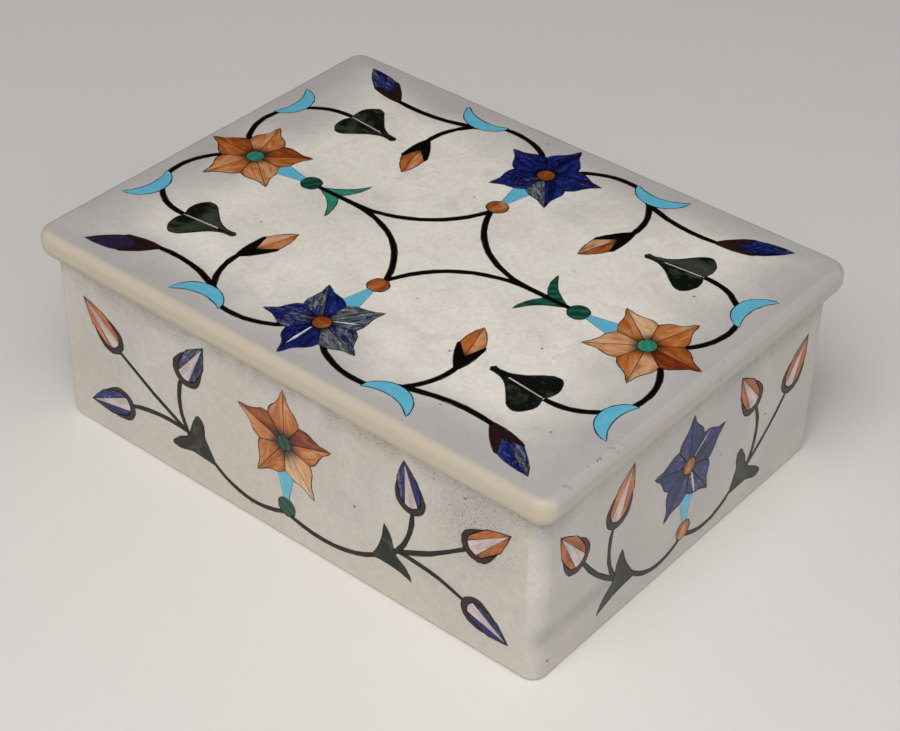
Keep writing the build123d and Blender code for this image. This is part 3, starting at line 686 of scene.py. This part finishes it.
def serpentine():
    """Near-black green stone with cloudy grey-green patches."""
    tints = bpy.context.scene.box_stones
    f = Finish("polished_serpentine")
    grain = grain_place(f, stretch=0.4)
    tone = f.attribute("tone")
    patches = f.between(f.noise(0.0032, grain, detail=5, roughness=0.6, twist=0.8) + tone * 0.12, 0.5, 0.75)
    colour = f.mix(patches * 0.8, tints.serpentine, (0.06, 0.072, 0.052))
    threads = f.between(f.noise(0.0008, grain, detail=4), 0.63, 0.72)
    colour = f.mix(threads * 0.3, colour, (0.12, 0.13, 0.10))
    return f.finished(colour, tints.roughness + patches * 0.12, patches, depth=0.000008)


def dark_stone(name, tint, fleck_tint):
    """Black or brown stone of stems, cups and rims, with worn pale flecks."""
    tints = bpy.context.scene.box_stones
    f = Finish(name)
    mottle = f.noise(0.0011, detail=4)
    colour = f.mix(mottle, scaled(tint, 0.6), scaled(tint, 1.7))
    flecks = f.between(f.noise(0.00035, detail=3, roughness=0.75), 0.66, 0.74)
    colour = f.mix(flecks * 0.35, colour, fleck_tint)
    return f.finished(colour, tints.roughness + flecks * 0.3, mottle - flecks, depth=0.000012)


def white_splinter():
    """White calcite with a little grey grit."""
    f = Finish("polished_splinter")
    grit = f.noise(0.0004, detail=4, roughness=0.7)
    colour = f.mix(f.between(grit, 0.35, 0.6), (0.30, 0.31, 0.36), (0.80, 0.80, 0.82))
    return f.finished(colour, 0.3, grit, depth=0.00001)


def shell():
    """Pale shell wedges with pearly grey and pink streaks."""
    tints = bpy.context.scene.box_stones
    f = Finish("polished_shell")
    grain = grain_place(f, stretch=0.8)
    along, _ = run_place(f)
    streaks = f.noise(0.0009, grain, detail=4, roughness=0.6)
    colour = f.mix(f.between(streaks, 0.35, 0.7), tints.shell, scaled(tints.shell, 0.62))
    colour = f.mix(f.between(along, 0.1, 1.0) * 0.3, colour, (0.32, 0.27, 0.30))
    return f.finished(colour, 0.25, streaks, depth=0.00001)


def cement():
    """Brown cement, rubbed level with the stones."""
    settings = bpy.context.scene.box_cement
    f = Finish("cement")
    grit = f.noise(0.0006, detail=4, roughness=0.7)
    colour = f.mix(grit, scaled(settings.colour, 0.5), scaled(settings.colour, 1.9))
    pale = f.between(f.noise(0.0022, detail=3), 0.6, 0.7)
    colour = f.mix(pale * 0.35, colour, (0.30, 0.26, 0.21))
    return f.finished(colour, 0.6 + grit * 0.2, grit, depth=0.00002)


def floor_paper():
    """Matt pale paper under the box."""
    settings = bpy.context.scene.box_stage
    f = Finish("floor_paper")
    fibres = f.noise(0.0007, detail=4)
    shade = f.noise(0.09, detail=3) * 0.5 + fibres * 0.3
    colour = f.mix(shade, settings.floor, scaled(settings.floor, 0.965))
    return f.finished(colour, 0.75 + fibres * 0.1, fibres, depth=0.00002, specular=0.2)


def loose_copy(node):
    """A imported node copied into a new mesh, with its loose triangles joined into whole solids."""
    solid = bmesh.new()
    solid.from_mesh(frame["nodes"][node].data)
    bmesh.ops.remove_doubles(solid, verts=solid.verts, dist=SAME_PLACE)
    return solid


def rings_along(edges):
    """The closed rings of points that a set of edges makes."""
    left = dict.fromkeys(edges)
    while left:
        edge = next(iter(left))
        del left[edge]
        start, point = edge.verts
        ring = [start]
        while point is not start:
            ring.append(point)
            edge = next(near for near in point.link_edges if near in left)
            del left[edge]
            point = edge.other_vert(point)
        yield ring


def curved(ring, corner_turn=CORNER_TURN):
    """A ring of short ground flats as a smooth curve through its points, with its corners kept."""
    points = [point.co.copy() for point in ring]
    count = len(points)
    runs = [points[(number + 1) % count] - points[number] for number in range(count)]
    tangents = []
    for number in range(count):
        is_corner = runs[number - 1].angle(runs[number]) > corner_turn
        tangents.append(None if is_corner else (runs[number - 1] + runs[number]).normalized())
    curve = []
    for number, run in enumerate(runs):
        start, end = points[number], points[(number + 1) % count]
        chord = run.normalized()
        leave, arrive = tangents[number], tangents[(number + 1) % count]
        if leave is None and arrive is None:
            leave = arrive = chord
        leave = leave or chord * 2 * chord.dot(arrive) - arrive
        arrive = arrive or chord * 2 * chord.dot(leave) - leave
        steps = max(1, ceil(leave.angle(arrive) / CURVE_STEP))
        for step in range(steps):
            share = step / steps
            rest = 1 - share
            through_ends = start * rest**2 * (1 + 2 * share) + end * share**2 * (1 + 2 * rest)
            bulge = (leave * rest - arrive * share) * share * rest * run.length
            curve.append(through_ends + bulge)
    return curve


def flat_faces(solid, face):
    """The triangles of a mesh that lie in the plane of one of the box's faces."""
    level = face.middle.dot(face.outwards)
    return [
        triangle
        for triangle in solid.faces
        if all(abs(point.co.dot(face.outwards) - level) < SAME_LEVEL for point in triangle.verts)
    ]


def is_level(face):
    """Whether a face lies square to one of the box's ways."""
    return max(abs(part) for part in face.normal) > 0.99999


def rim_edges(flat):
    """Edges along the rim of a flat patch of triangles."""
    patch = set(flat)
    edges = dict.fromkeys(edge for triangle in flat for edge in triangle.edges)
    return [edge for edge in edges if sum(near in patch for near in edge.link_faces) == 1]


def fill_between(solid, edges, outwards):
    """Flat triangles inside rings of edges, left open inside the rings within them."""
    bmesh.ops.triangle_fill(solid, use_beauty=True, use_dissolve=False, edges=edges, normal=outwards)


def add_walls(solid, curves, outwards, rise, depth):
    """Upright walls that follow curves, and the edges along their tops and feet."""
    tops, feet = [], []
    for curve in curves:
        upper = [solid.verts.new(point + outwards * rise) for point in curve]
        lower = [solid.verts.new(point + outwards * (rise - depth)) for point in curve]
        for number in range(len(curve)):
            before = number - 1
            wall = solid.faces.new((upper[before], upper[number], lower[number], lower[before]))
            tops.append(wall.edges[0])
            feet.append(wall.edges[2])
    return tops, feet


def cut_pockets(solid, node, face):
    """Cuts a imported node's pockets into a flat face of its finer copy, with smooth curves for their rims."""
    rough = loose_copy(node)
    rings = list(rings_along(rim_edges(flat_faces(rough, face))))
    outer = max(rings, key=lambda ring: max((point.co - face.middle).length for point in ring))
    curves = [curved(ring) for ring in rings if ring is not outer]
    rough.free()
    flat = flat_faces(solid, face)
    outer_edges = rim_edges(flat)
    bmesh.ops.delete(solid, geom=flat, context="FACES")
    tops, feet = add_walls(solid, curves, face.outwards, 0.0, POCKET_DEPTH)
    fill_between(solid, outer_edges + tops, face.outwards)
    fill_between(solid, feet, face.outwards)


def ring_round(half_x, half_y, corner, z, wear):
    """Points round a level section of a block, worn in a little and unevenly by hand polishing."""
    places = []
    for x_side, y_side, steps in CORNERS:
        centre = Vector((x_side * (half_x - corner), y_side * (half_y - corner), z))
        start = atan2(y_side, x_side) - tau / 8
        for step in range(CORNER_STEPS + 1):
            angle = start + tau / 4 * step / CORNER_STEPS
            outwards = Vector((cos(angle), sin(angle), 0))
            places.append((centre + outwards * corner, outwards))
        along = Vector((-2 * x_side * (half_x - corner), 0, 0))
        if steps == SHORT_STEPS:
            along = Vector((0, -2 * y_side * (half_y - corner), 0))
        places += [(places[-1][0] + along * step / steps, outwards) for step in range(1, steps)]
    worn_in = []
    for point, outwards in places:
        waves = 0.5 * noise.noise(point * LONG_WAVES) + 0.2 * noise.noise(point * SHORT_WAVES)
        worn_in.append(point - outwards * wear * (0.5 + waves))
    return worn_in


def block(half_x, half_y, sections):
    """A closed block from its level sections: how far each lies in, its height, corner radius and wear."""
    solid = bmesh.new()
    rings = []
    for inset, z, corner, wear in sections:
        points = ring_round(half_x - inset, half_y - inset, corner, z, wear)
        rings.append([solid.verts.new(point) for point in points])
    for lower, upper in zip(rings, rings[1:]):
        for number in range(len(lower)):
            before = number - 1
            solid.faces.new((lower[before], lower[number], upper[number], upper[before])).smooth = True
    solid.faces.new(rings[0])
    solid.faces.new(rings[-1])
    return solid


def rounding(size, turns):
    """Two distances, in and up, for each point of a rounded edge, given its shares of a quarter turn."""
    return [(size * (1 - cos(tau / 4 * turn)), size * (1 - sin(tau / 4 * turn))) for turn in turns]


def lid_block():
    """The lid slab: a small rounding above, a larger one below and uneven wear along both."""
    upwards = [step / ROUNDING_STEPS for step in range(ROUNDING_STEPS + 1)]
    sections = [
        (inset, lid_low.z + rise, LID_CORNER - inset, UNDER_WEAR * sin(tau / 2 * (1 - turn)))
        for turn, (rise, inset) in zip(upwards, rounding(LID_UNDER_ROUNDING, upwards))
    ]
    sections += [
        (inset, lid_high.z - drop, LID_CORNER - inset, TOP_WEAR * sin(tau / 2 * turn))
        for turn, (inset, drop) in zip(upwards, rounding(LID_TOP_ROUNDING, upwards))
    ]
    return block(lid_high.x, lid_high.y, sections)


def body_block():
    """The body, from its underside up the outside, over the rim and down into the cavity."""
    upwards = [step / ROUNDING_STEPS for step in range(ROUNDING_STEPS + 1)]
    sections = [
        (inset, rise, BODY_CORNER - inset, 0.0) for rise, inset in rounding(FOOT_ROUNDING, upwards)
    ]
    sections += [
        (0, body_high.z - RIM_ROUNDING, BODY_CORNER, 0.0),
        (RIM_ROUNDING, body_high.z, BODY_CORNER - RIM_ROUNDING, 0.0),
        (WALL - RIM_ROUNDING, body_high.z, CAVITY_CORNER + RIM_ROUNDING, 0.0),
        (WALL, body_high.z - RIM_ROUNDING, CAVITY_CORNER, 0.0),
        (WALL, CAVITY_FLOOR + CAVITY_BEVEL, CAVITY_CORNER, 0.0),
        (WALL + CAVITY_BEVEL, CAVITY_FLOOR, CAVITY_CORNER - CAVITY_BEVEL, 0.0),
    ]
    return block(body_high.x, body_high.y, sections)


def panel_block():
    """The locating panel under the lid, its lower edge bevelled."""
    panel_low, panel_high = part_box("lid_locating_panel")
    corner = CAVITY_CORNER - PANEL_BEVEL
    sections = [
        (PANEL_BEVEL, panel_low.z, corner, 0.0),
        (0, panel_low.z + PANEL_BEVEL, corner + PANEL_BEVEL, 0.0),
        (0, panel_high.z, corner + PANEL_BEVEL, 0.0),
    ]
    return block(panel_high.x, panel_high.y, sections)


def swollen(curve, swell, outwards):
    """A closed curve in a plane, moved outwards by a small distance."""
    count = len(curve)
    runs = [curve[(number + 1) % count] - curve[number] for number in range(count)]
    turning = sum(runs[number - 1].cross(runs[number]).dot(outwards) for number in range(count))
    side = swell if turning > 0 else -swell
    headings = [run.normalized() for run in runs]
    ways = [(headings[number - 1] + headings[number]).normalized() for number in range(count)]
    return [point + way.cross(outwards) * side for point, way in zip(curve, ways)]


def slabs(outlines, outwards, rise, thickness):
    """A closed flat slab inside each outline."""
    solid = bmesh.new()
    for outline in outlines:
        tops, feet = add_walls(solid, [outline], outwards, rise, thickness)
        fill_between(solid, tops, outwards)
        fill_between(solid, feet, -outwards)
    bmesh.ops.recalc_face_normals(solid, faces=solid.faces)
    return solid


def curved_stones(node, face):
    """One node's stones made again from their polished outlines, with smooth curves for the ground flats."""
    rough = loose_copy(node)
    curves = []
    for ring in rings_along(rim_edges(flat_faces(rough, face))):
        across = (middle_of(ring) - face.middle).dot(face.right)
        is_rounded = node.endswith("leaf_forks") and across * ROUNDED_FORK[node.split("_")[0]] > 0
        curves.append(curved(ring, ROUND_TIPS if is_rounded else CORNER_TURN))
    rough.free()
    if node.endswith(("stems", "scrolls")):
        return slabs(curves, face.outwards, STEM_RISE, STONE_THICKNESS)
    outlines = [swollen(curve, -RUBBED_BACK, face.outwards) for curve in curves]
    return slabs(outlines, face.outwards, STONE_RISE, STONE_THICKNESS)


def separate_stones(solid):
    """The points of each stone in a mesh that holds several."""
    left = set(solid.verts)
    while left:
        stone = {left.pop()}
        edge_of_search = set(stone)
        while edge_of_search:
            near = {edge.other_vert(point) for point in edge_of_search for edge in point.link_edges}
            edge_of_search = near - stone
            stone |= near
        left -= stone
        yield sorted(stone, key=lambda point: point.index)


def middle_of(points):
    return sum((point.co for point in points), Vector()) / len(points)


def turn_round(face, centre, point):
    """Turn of a point round a centre on its face, anticlockwise in degrees from the face's right."""
    away = point - centre
    return atan2(away.dot(face.up), away.dot(face.right)) * 360 / tau


def mark_stones(solid, tone_of, seed):
    """Gives every stone its tone, root, way and length, and the place in its block that it was cut from."""
    layers = solid.verts.layers
    tone, reach = layers.float.new("tone"), layers.float.new("reach")
    root, way, cut = (layers.float_vector.new(name) for name in ("root", "way", "cut"))
    solid.verts.index_update()
    stones = sorted(separate_stones(solid), key=lambda stone: stone[0].index)
    chance = random.Random(seed)
    for stone in stones:
        middle = middle_of(stone)
        tip = max(stone, key=lambda point: (point.co - middle).length).co.copy()
        base = max(stone, key=lambda point: (point.co - tip).length).co.copy()
        shift = Vector([chance.uniform(-1, 1) for _ in range(3)])
        own_tone = tone_of(middle, chance)
        for point in stone:
            point[tone] = own_tone
            point[reach] = (tip - base).length
            point[root] = base
            point[way] = (tip - base).normalized()
            point[cut] = shift


def chance_tone(lowest, highest):
    """Tones left to chance between two limits."""
    return lambda middle, chance: chance.uniform(lowest, highest)


def petal_tone(face, centre, heading, tones):
    """Tones of half petals, anticlockwise from the first petal's ridge."""

    def tone_of(middle, chance):
        turn = (turn_round(face, centre, middle) - heading) % 360
        return tones[int(turn / 360 * HALF_PETALS)]

    return tone_of


def ranked_tone(node):
    """Tones of the lid's buds or leaves by their order round the middle of the lid."""
    face, tones, solid = FACES["lid"], LID_TONES[node], loose_copy(node)
    middles = [middle_of(stone) for stone in separate_stones(solid)]
    turns = sorted(turn_round(face, face.middle, middle) % 360 for middle in middles)
    solid.free()

    def tone_of(middle, chance):
        turn = turn_round(face, face.middle, middle) % 360
        return tones[min(range(len(turns)), key=lambda rank: abs(turns[rank] - turn))]

    return tone_of


def body_of(name):
    """The body that carries a node or a face."""
    return "lid" if name.startswith("lid") else "box"


def face_of(node):
    """The face of the box that a node of stones lies in."""
    return FACES[node.split("_")[0]]


def add_piece(name, mesh, material, body, slot, nodes=()):
    """A finished piece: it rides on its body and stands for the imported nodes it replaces."""
    mesh.name = name
    mesh.materials.clear()
    mesh.materials.append(material)
    piece = bpy.data.objects.new(name, mesh)
    bpy.context.scene.collection.objects.link(piece)
    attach(piece, body)
    if nodes:
        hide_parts(*nodes)


def mesh_from(solid, name):
    mesh = bpy.data.meshes.new(name)
    solid.to_mesh(mesh)
    solid.free()
    return mesh


def set_stones(node, material, tone_of=chance_tone(0.2, 0.6)):
    """One node's stones, dressed with their material and their own tones and grain."""
    solid = curved_stones(node, face_of(node))
    mark_stones(solid, tone_of, bpy.context.scene.box_stones.seed + len(node))
    add_piece(f"stone_{node}", mesh_from(solid, node), material, body_of(node), SLOTS[node], [node])


def cement_tree():
    """Geometry nodes that swell the stones by the cement's width and sink them a little below their tops."""
    tree = bpy.data.node_groups.new("Cement round stones", "GeometryNodeTree")
    tree.interface.new_socket("Stones", in_out="INPUT", socket_type="NodeSocketGeometry")
    for name in ("Gap", "Level"):
        tree.interface.new_socket(name, in_out="INPUT", socket_type="NodeSocketFloat")
    tree.interface.new_socket("Outwards", in_out="INPUT", socket_type="NodeSocketVector")
    tree.interface.new_socket("Cement", in_out="INPUT", socket_type="NodeSocketMaterial")
    tree.interface.new_socket("Geometry", in_out="OUTPUT", socket_type="NodeSocketGeometry")
    n = Nodes(tree)
    given = n.node("NodeGroupInput").outputs
    outwards = given["Outwards"]
    normal = n.node("GeometryNodeInputNormal").outputs["Normal"]
    upright = n.length_along(normal, outwards)
    sideways = n.vector("SUBTRACT", normal, n.vector("SCALE", outwards, scale=upright))
    ragged = n.number("ShaderNodeTexNoise", values={"Scale": CEMENT_RAGGEDNESS, "Detail": 2.0})
    swell = n.vector("SCALE", n.vector("NORMALIZE", sideways), scale=ragged * given["Gap"])
    wider = n.node("GeometryNodeSetPosition", values={"Geometry": given["Stones"], "Offset": swell})
    place = n.node("GeometryNodeInputPosition").outputs["Position"]
    too_high = n.math("SUBTRACT", given["Level"], n.length_along(place, outwards))
    drop = n.vector("SCALE", outwards, scale=n.math("MINIMUM", too_high, 0.0))
    sunk = n.node("GeometryNodeSetPosition", values={"Geometry": wider.outputs[0], "Offset": drop})
    whole = n.node("GeometryNodeRealizeInstances", values={"Geometry": sunk.outputs[0]}).outputs[0]
    painted = n.node("GeometryNodeSetMaterial", values={"Geometry": whole, "Material": given["Cement"]})
    n.node("NodeGroupOutput", values={"Geometry": painted.outputs[0]})
    return tree


class BOX_OT_marble(bpy.types.Operator):
    """Marble body, lid slab and locating panel"""

    bl_idname = "marble_box.marble"
    bl_label = "Marble"

    def execute(self, context):
        # The lid's marble is greyed towards its edges, partly as painted shade
        plain, greyed_shaded_edges = body_marble(), lid_marble()
        for node, make_block, sides, material in (
            ("box_body", body_block, SIDES, plain),
            ("lid_slab", lid_block, ("lid",), greyed_shaded_edges),
            ("lid_locating_panel", panel_block, (), plain),
        ):
            solid = make_block()
            for side in sides:
                cut_pockets(solid, node, FACES[side])
            bmesh.ops.recalc_face_normals(solid, faces=solid.faces)
            for triangle in solid.faces:
                triangle.smooth = triangle.smooth and not is_level(triangle)
            mesh = mesh_from(solid, node)
            add_piece(f"marble_{node}", mesh, material, body_of(node), SLOTS[node], [node])
        return {"FINISHED"}


class BOX_OT_flowers(bpy.types.Operator):
    """Petals, centres, beads and turquoise wedges of all the flowers"""

    bl_idname = "marble_box.flowers"
    bl_label = "Flowers"

    def execute(self, context):
        red, blue, green, sky = carnelian(), lapis(), malachite(), turquoise()
        for node, at, heading, tones in FLOWERS:
            face = face_of(node)
            tone_of = petal_tone(face, face.place(*at), heading, tones)
            set_stones(node, red if SLOTS[node] == "carnelian" else blue, tone_of)
        set_stones("lid_carnelian_centres", red, chance_tone(0.25, 0.35))
        for node in ("lid_carnelian_beads", "right_discs", "left_discs"):
            set_stones(node, red, chance_tone(0.45, 0.6))
        set_stones("lid_malachite_centres", green, chance_tone(0.75, 0.85))
        for node in ("lid_malachite_beads", "front_discs", "back_discs"):
            set_stones(node, green, chance_tone(0.1, 0.2))
        for node in ("lid_calyxes", *(f"{side}_calyx" for side in SIDES)):
            set_stones(node, sky)
        return {"FINISHED"}


class BOX_OT_splinters(bpy.types.Operator):
    """White splinters in the ridges of petals"""

    bl_idname = "marble_box.splinters"
    bl_label = "Splinters"

    def execute(self, context):
        white = white_splinter()
        for number, (side, start, end, width) in enumerate(SPLINTERS):
            face = FACES[side]
            root, tip = face.place(*start), face.place(*end)
            beside = (tip - root).normalized().cross(face.outwards) * width / (2 * MM_PER_METRE)
            middle = (root + tip * 2) / 3
            outline = [root + beside * 0.5, middle + beside, tip, middle - beside, root - beside * 0.5]
            mesh = mesh_from(slabs([outline], face.outwards, SPLINTER_RISE, SPLINTER_THICKNESS), "splinter")
            add_piece(f"splinter_{number}_{side}", mesh, white, body_of(side), "pale_shell")
        return {"FINISHED"}


class BOX_OT_buds(bpy.types.Operator):
    """Buds of the lid and of the side faces"""

    bl_idname = "marble_box.buds"
    bl_label = "Buds"

    def execute(self, context):
        materials, tints = bpy.data.materials, context.scene.box_stones
        red, blue = materials["polished_carnelian"], materials["polished_lapis"]
        brown = dark_stone("polished_jasper", tints.jasper, (0.12, 0.08, 0.07))
        black = dark_stone("polished_slate", tints.slate, (0.16, 0.14, 0.12))
        pale = shell()
        for node, material in (("lid_carnelian_bud_gems", red), ("lid_lapis_bud_gems", blue)):
            set_stones(node, material, ranked_tone(node))
        set_stones("lid_lapis_bud_cups", brown)
        set_stones("lid_carnelian_bud_cups", black)
        for side in SIDES:
            set_stones(f"{side}_bud_rims", brown)
            set_stones(f"{side}_shell_wedges", pale)
            set_stones(f"{side}_carnelian_slivers", red, chance_tone(0.12, 0.5))
            if f"{side}_lapis_slivers" in frame["nodes"]:
                set_stones(f"{side}_lapis_slivers", blue, chance_tone(0.0, 0.4))
        return {"FINISHED"}


class BOX_OT_leaves(bpy.types.Operator):
    """Leaves, crescents and hearts with their veins"""

    bl_idname = "marble_box.leaves"
    bl_label = "Leaves"

    def execute(self, context):
        materials = bpy.data.materials
        dark = serpentine()
        set_stones("lid_leaves", materials["polished_malachite"], ranked_tone("lid_leaves"))
        set_stones("lid_crescents", materials["polished_turquoise"])
        set_stones("lid_hearts", dark, chance_tone(0.0, 1.0))
        set_stones("lid_heart_veins", materials["polished_shell"])
        for side in SIDES:
            set_stones(f"{side}_leaf_forks", dark)
        return {"FINISHED"}


class BOX_OT_stems(bpy.types.Operator):
    """Stems and scrolls of black stone"""

    bl_idname = "marble_box.stems"
    bl_label = "Stems"

    def execute(self, context):
        black = bpy.data.materials["polished_slate"]
        for node in ("lid_scrolls", "lid_flower_stems", "lid_bud_stems", "lid_heart_stems"):
            set_stones(node, black)
        for side in SIDES:
            set_stones(f"{side}_stems", black)
        return {"FINISHED"}


class BOX_OT_cement(bpy.types.Operator):
    """Cement between the stones and the marble"""

    bl_idname = "marble_box.cement"
    bl_label = "Cement"

    def execute(self, context):
        settings = context.scene.box_cement
        tree, brown = cement_tree(), cement()
        inputs = {item.name: item.identifier for item in tree.interface.items_tree if item.in_out == "INPUT"}
        for side, face in FACES.items():
            stones = bmesh.new()
            for node in frame["nodes"]:
                if node.startswith(side) and node not in MARBLE_NODES:
                    stones.from_mesh(bpy.data.objects[f"stone_{node}"].data)
            source = bpy.data.objects.new("stones", mesh_from(stones, "stones"))
            context.scene.collection.objects.link(source)
            modifier = source.modifiers.new("Cement", "NODES")
            modifier.node_group = tree
            modifier[inputs["Gap"]] = settings.gap / MEAN_NOISE
            modifier[inputs["Level"]] = face.middle.dot(face.outwards) + CEMENT_RISE
            modifier[inputs["Outwards"]] = face.outwards
            modifier[inputs["Cement"]] = brown
            context.view_layer.update()
            evaluated = source.evaluated_get(context.evaluated_depsgraph_get())
            mesh = bpy.data.meshes.new_from_object(evaluated)
            bpy.data.objects.remove(source)
            slot = "black_slate" if side == "lid" else "brown_jasper"
            add_piece(f"cement_{side}", mesh, brown, body_of(side), slot)
        return {"FINISHED"}


class BOX_OT_stage(bpy.types.Operator):
    """Floor, lamps and camera"""

    bl_idname = "marble_box.stage"
    bl_label = "Stage"

    def execute(self, context):
        settings = context.scene.box_stage
        self.lay_floor()
        self.light(settings)
        self.place_camera(context, settings)
        context.scene.view_settings.view_transform = "Standard"
        return {"FINISHED"}

    def lay_floor(self):
        """A wide flat sheet that the box stands on."""
        sheet = bmesh.new()
        bmesh.ops.create_grid(sheet, x_segments=8, y_segments=8, size=FLOOR_HALF_WIDTH)
        floor = bpy.data.objects.new("floor", mesh_from(sheet, "floor"))
        floor.data.materials.append(floor_paper())
        floor.location.z = cad_box[0].z
        bpy.context.scene.collection.objects.link(floor)

    def light(self, settings):
        """A large soft lamp in front and above, a weaker one on the right, and a sky that is dark one way."""
        world = bpy.data.worlds.new("sky")
        world.use_nodes = True
        n = Nodes(world.node_tree)
        n.tree.nodes.clear()
        facing = n.length_along(n.node("ShaderNodeTexCoord").outputs["Generated"], DARK_WAY)
        strength = (1 - n.between(facing, DARK_FROM, DARK_FULL)) * settings.sky
        sky = n.node("ShaderNodeBackground", values={"Color": (1, 1, 1), "Strength": strength})
        n.node("ShaderNodeOutputWorld", values={"Surface": sky.outputs[0]})
        bpy.context.scene.world = world
        self.add_lamp("key", settings.key, *KEY_LAMP)
        self.add_lamp("fill", settings.fill, *FILL_LAMP)

    def add_lamp(self, name, power, size, place):
        """A square lamp that faces the box."""
        lamp = bpy.data.lights.new(name, "AREA")
        lamp.energy = power
        lamp.size = size
        holder = bpy.data.objects.new(name, lamp)
        holder.location = place
        holder.rotation_euler = (-Vector(place)).to_track_quat("-Z", "Y").to_euler()
        bpy.context.scene.collection.objects.link(holder)

    def place_camera(self, context, settings):
        """A camera at the angle of the photo."""
        az, el, roll = settings.azimuth, settings.elevation, settings.roll
        back = Vector((sin(az) * cos(el), -cos(az) * cos(el), sin(el)))
        right = Vector((cos(az), sin(az), 0))
        up = back.cross(right)
        right, up = right * cos(roll) + up * sin(roll), up * cos(roll) - right * sin(roll)
        lens = bpy.data.cameras.new("camera")
        lens.sensor_width = 36
        lens.lens = settings.lens
        lens.clip_start, lens.clip_end = 0.01, 20
        camera = bpy.data.objects.new("camera", lens)
        place = back * settings.distance + right * settings.side + up * settings.rise
        camera.matrix_world = Matrix.Translation(place) @ Matrix((right, up, back)).transposed().to_4x4()
        context.scene.collection.objects.link(camera)
        context.scene.camera = camera


OPERATORS = (
    BOX_OT_marble,
    BOX_OT_flowers,
    BOX_OT_splinters,
    BOX_OT_buds,
    BOX_OT_leaves,
    BOX_OT_stems,
    BOX_OT_cement,
    BOX_OT_stage,
)
SETTINGS = {
    "box_marble": MarbleSettings,
    "box_stones": StoneSettings,
    "box_cement": CementSettings,
    "box_stage": StageSettings,
}


class BOX_PT_sidebar(bpy.types.Panel):
    """Settings and steps of the marble box"""

    bl_label = "Marble Box"
    bl_idname = "BOX_PT_sidebar"
    bl_space_type = "VIEW_3D"
    bl_region_type = "UI"
    bl_category = "Marble Box"

    def draw(self, context):
        for name, group in SETTINGS.items():
            column = self.layout.box().column()
            for setting in group.__annotations__:
                column.prop(getattr(context.scene, name), setting)
        for operator in OPERATORS:
            self.layout.operator(operator.bl_idname)


def register():
    for cls in (*SETTINGS.values(), *OPERATORS, BOX_PT_sidebar):
        bpy.utils.register_class(cls)
    for name, group in SETTINGS.items():
        setattr(bpy.types.Scene, name, PointerProperty(type=group))


def unregister():
    for name in SETTINGS:
        delattr(bpy.types.Scene, name)
    for cls in reversed((*SETTINGS.values(), *OPERATORS, BOX_PT_sidebar)):
        bpy.utils.unregister_class(cls)


def main():
    register()
    for operator in OPERATORS:
        group, name = operator.bl_idname.split(".")
        getattr(getattr(bpy.ops, group), name)()


if __name__ == "__main__":
    main()
